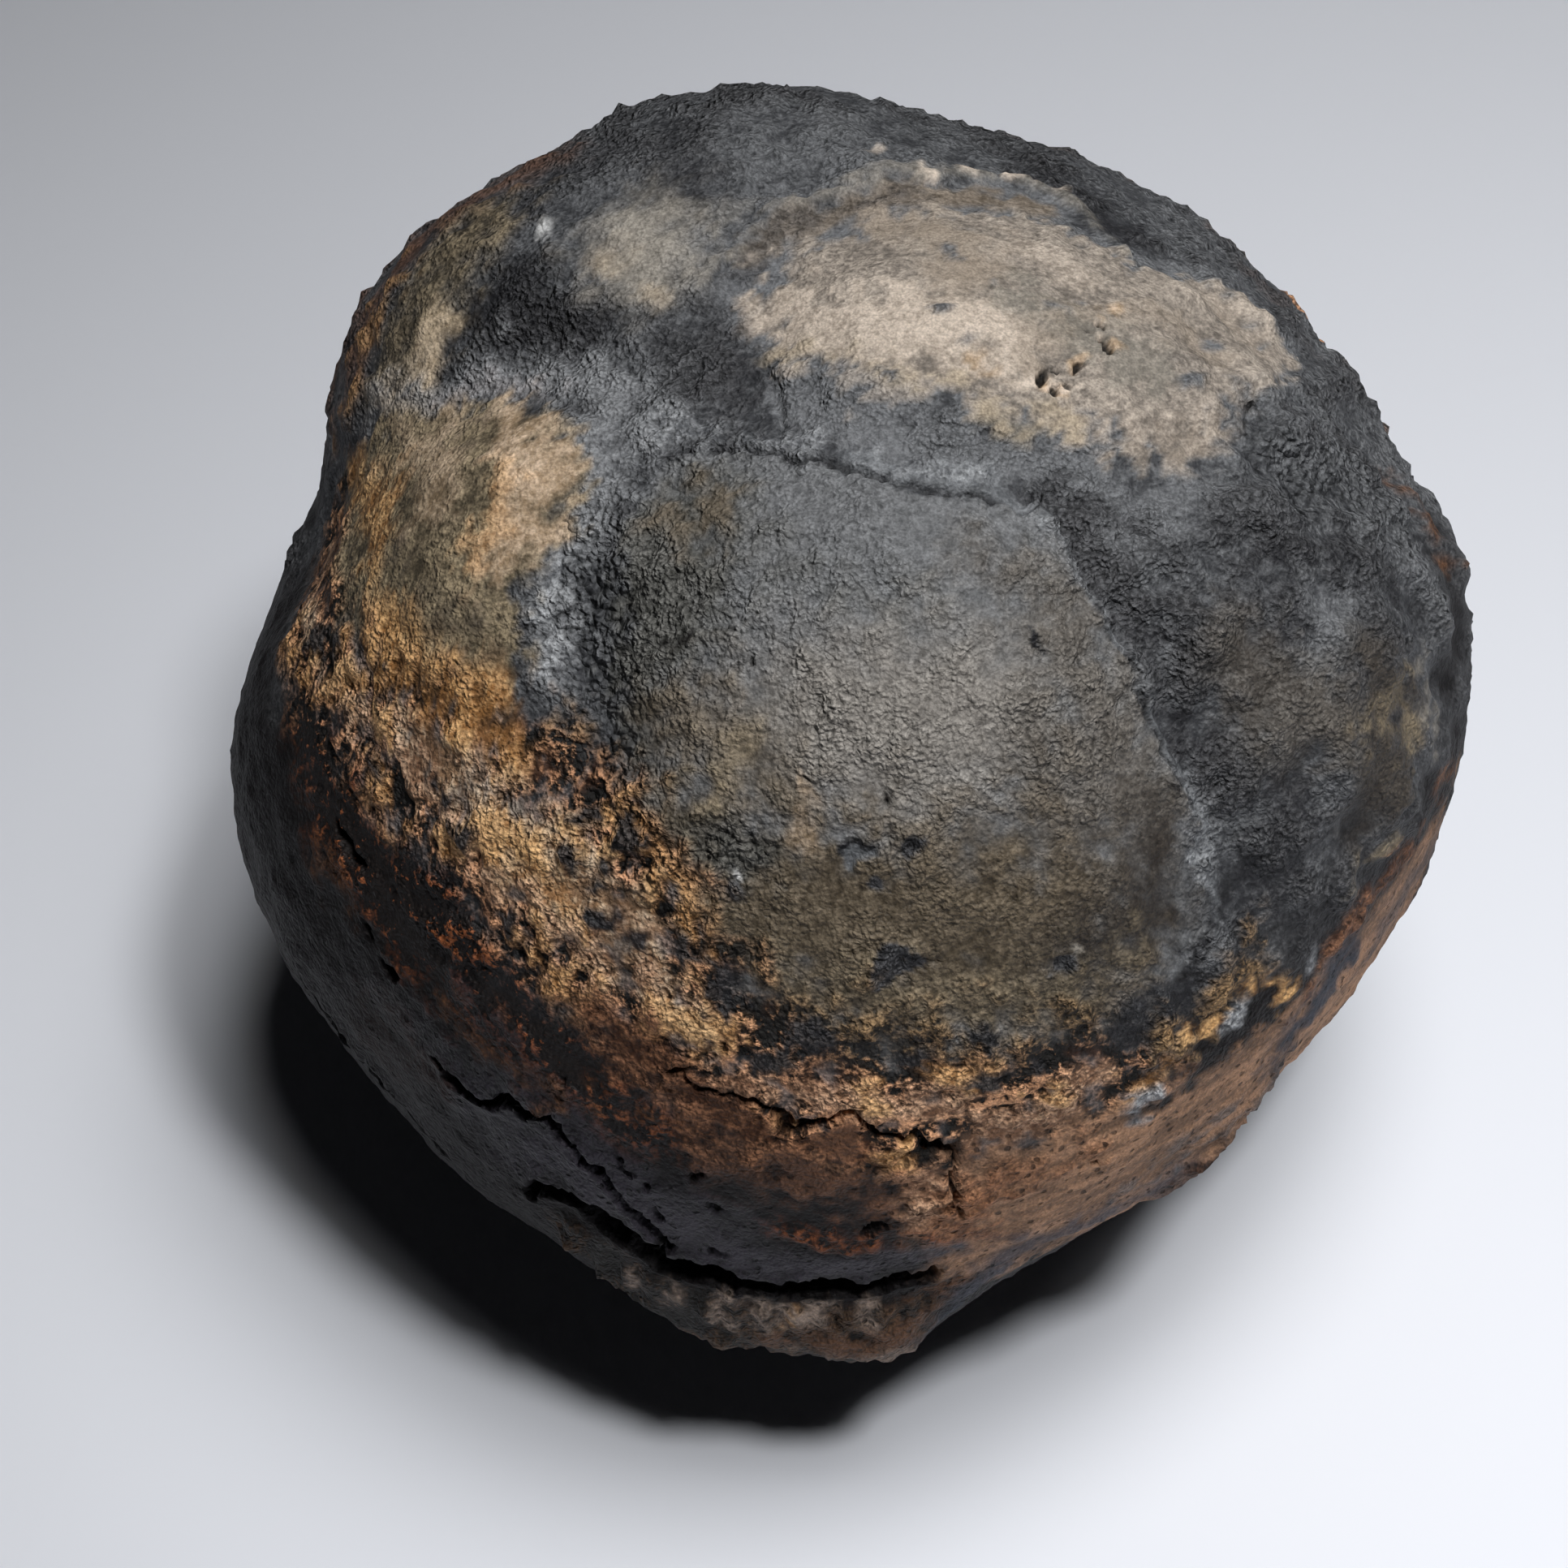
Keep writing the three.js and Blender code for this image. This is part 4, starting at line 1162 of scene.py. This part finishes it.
# %% Grain patterns
PATCH_MM = 1.1
FINE_MM = 0.6
DUST_MM = 0.25
CREASE_MM = 1.3
PEBBLE_MM = 0.9
HIDE_MM = 0.5
BEND_MM = 0.8
BEND_GRAIN_MM = 1.2

place = add("ShaderNodeTexCoord").outputs["Object"]


def grains(size_mm, detail, output="Fac", roughness=0.5):
    """A cloudy pattern whose grains are about this size."""
    scale = 1 / (size_mm * MM)
    pattern = {"Vector": place, "Scale": scale, "Detail": detail, "Roughness": roughness}
    return add("ShaderNodeTexNoise", None, **pattern).outputs[output]


patches = grains(PATCH_MM, 3.0, roughness=0.6)
fine = grains(FINE_MM, 2.0)
dust = grains(DUST_MM, 1.0)
creases = sums("ABSOLUTE", sums("SUBTRACT", grains(CREASE_MM, 2.0), 0.5), 0)

shift = add(
    "ShaderNodeVectorMath", {"operation": "SCALE"},
    _0=grains(BEND_GRAIN_MM, 1.0, "Color"), Scale=BEND_MM * MM,
)
bent = add("ShaderNodeVectorMath", {"operation": "ADD"}, _0=place, _1=shift.outputs[0]).outputs[0]
pebbles = add("ShaderNodeTexVoronoi", None, Vector=bent, Scale=1 / (PEBBLE_MM * MM))
from_pebble = pebbles.outputs["Distance"]
hide = add("ShaderNodeTexVoronoi", None, Vector=bent, Scale=1 / (HIDE_MM * MM)).outputs["Distance"]
chosen = ramp(pebbles.outputs["Color"], 0.62, 0.66)
pores = sums("MULTIPLY", sums("MULTIPLY", ramp(from_pebble, 0.42, 0.22), chosen), stored("pitted"))
print(len(nodes), "nodes so far")

# %% [markdown]
# The stored share of pale mineral is pushed up and down by the grain, and where it passes a half
# the pale colour takes over: softly in a skin, and at once in a crust. Creases, the seams of the
# hide, the spaces between pebbles, pores and the beds of cracks then get painted shade.

# %% The colour
CRACK_SHADE = 0.35  # how light the bed of a crack stays
PORE_SHADE = 0.4
CREASE_SHADE = 0.6
PEBBLE_SHADE = 0.25

share = sums("MULTIPLY_ADD", sums("SUBTRACT", patches, 0.5), 1.2, stored("pale share"))
share = sums("MULTIPLY_ADD", sums("SUBTRACT", fine, 0.5), 1.1, share)
softness = ramp(stored("crispness"), 0, 1, 0.55, 0.07)
mixing = ramp(share, sums("SUBTRACT", 0.5, softness), sums("ADD", 0.5, softness))
minerals = add(
    "ShaderNodeMix", {"data_type": "RGBA"},
    _0=mixing, _6=stored("dark mineral", "Color"), _7=stored("pale mineral", "Color"),
)
tone = ramp(dust, 0.25, 0.75, 0.8, 1.2)
# painted shade in the beds of grooves and in the pores
tone = sums("MULTIPLY", tone, ramp(stored("groove_shade"), 0.3, 1, 1, CRACK_SHADE))
tone = sums("MULTIPLY", tone, ramp(pores, 0, 1, 1, PORE_SHADE))
unevenness = stored("unevenness")
# painted shade in creases, in the seams of the hide and between pebbles
gap_shade = sums("MULTIPLY", ramp(creases, 0, 0.05, CREASE_SHADE, 0), unevenness)
gap_shade = sums("MULTIPLY_ADD", ramp(hide, 0.3, 0.75, -0.3, 1.5), unevenness, gap_shade)
pebble_gap_shade = ramp(from_pebble, 0.4, 0.75, 0, PEBBLE_SHADE)
gap_shade = sums("MULTIPLY_ADD", pebble_gap_shade, stored("pebbly"), gap_shade)
tone = sums("MULTIPLY", tone, sums("SUBTRACT", 1, gap_shade))
toned = add("ShaderNodeVectorMath", {"operation": "SCALE"}, _0=minerals.outputs[2], Scale=tone)
colour = toned.outputs[0]
print(len(nodes), "nodes so far")

# %% [markdown]
# The same patterns also lift and sink the skin, in millimetres, more where the stone is uneven. The
# roughness is set mineral by mineral, and varies a little from grain to grain.

# %% Bumps and finish
DUST_HEIGHT = 0.05
PORE_DEPTH = 0.25
PEBBLE_HEIGHT = 1.1


def rising(slope, least):
    """A height in mm that grows with the unevenness from the least that there is anywhere."""
    return sums("MULTIPLY_ADD", unevenness, slope, least)


height = sums("MULTIPLY", mixing, sums("MULTIPLY", unevenness, stored("crispness")))
height = sums("MULTIPLY_ADD", fine, rising(2.4, 0.04), height)
height = sums("MULTIPLY_ADD", creases, rising(1.7, 0.05), height)
height = sums("SUBTRACT", height, sums("MULTIPLY", hide, rising(1.6, 0.03)))
pebble_height = sums("MULTIPLY", stored("pebbly"), PEBBLE_HEIGHT)
height = sums("SUBTRACT", height, sums("MULTIPLY", from_pebble, pebble_height))
height = sums("MULTIPLY_ADD", dust, DUST_HEIGHT, height)
height = sums("MULTIPLY_ADD", pores, -PORE_DEPTH, height)
bumps = add("ShaderNodeBump", None, Height=height, Distance=MM).outputs[0]

finish = nodes["Principled BSDF"]
finish.inputs["Specular IOR Level"].default_value = 0.2
roughness = sums("MULTIPLY_ADD", sums("SUBTRACT", fine, 0.5), 0.4, stored("dullness"))
links.new(roughness, finish.inputs["Roughness"])
links.new(colour, finish.inputs["Base Color"])
links.new(bumps, finish.inputs["Normal"])
stone_mesh.materials.append(stone_paint)
print(len(nodes), "nodes in the stone's material")

# %% [markdown]
# ## Into the frame
# The stone rides on the only body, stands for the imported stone, and takes its finish from its slot.

# %% Stone into the frame
stone = bpy.data.objects.new("lobolith_stone", stone_mesh)
bpy.context.scene.collection.objects.link(stone)
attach(stone, "root")
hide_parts("lobolith")
print(stone.name, "has", len(stone_mesh.polygons), "faces")
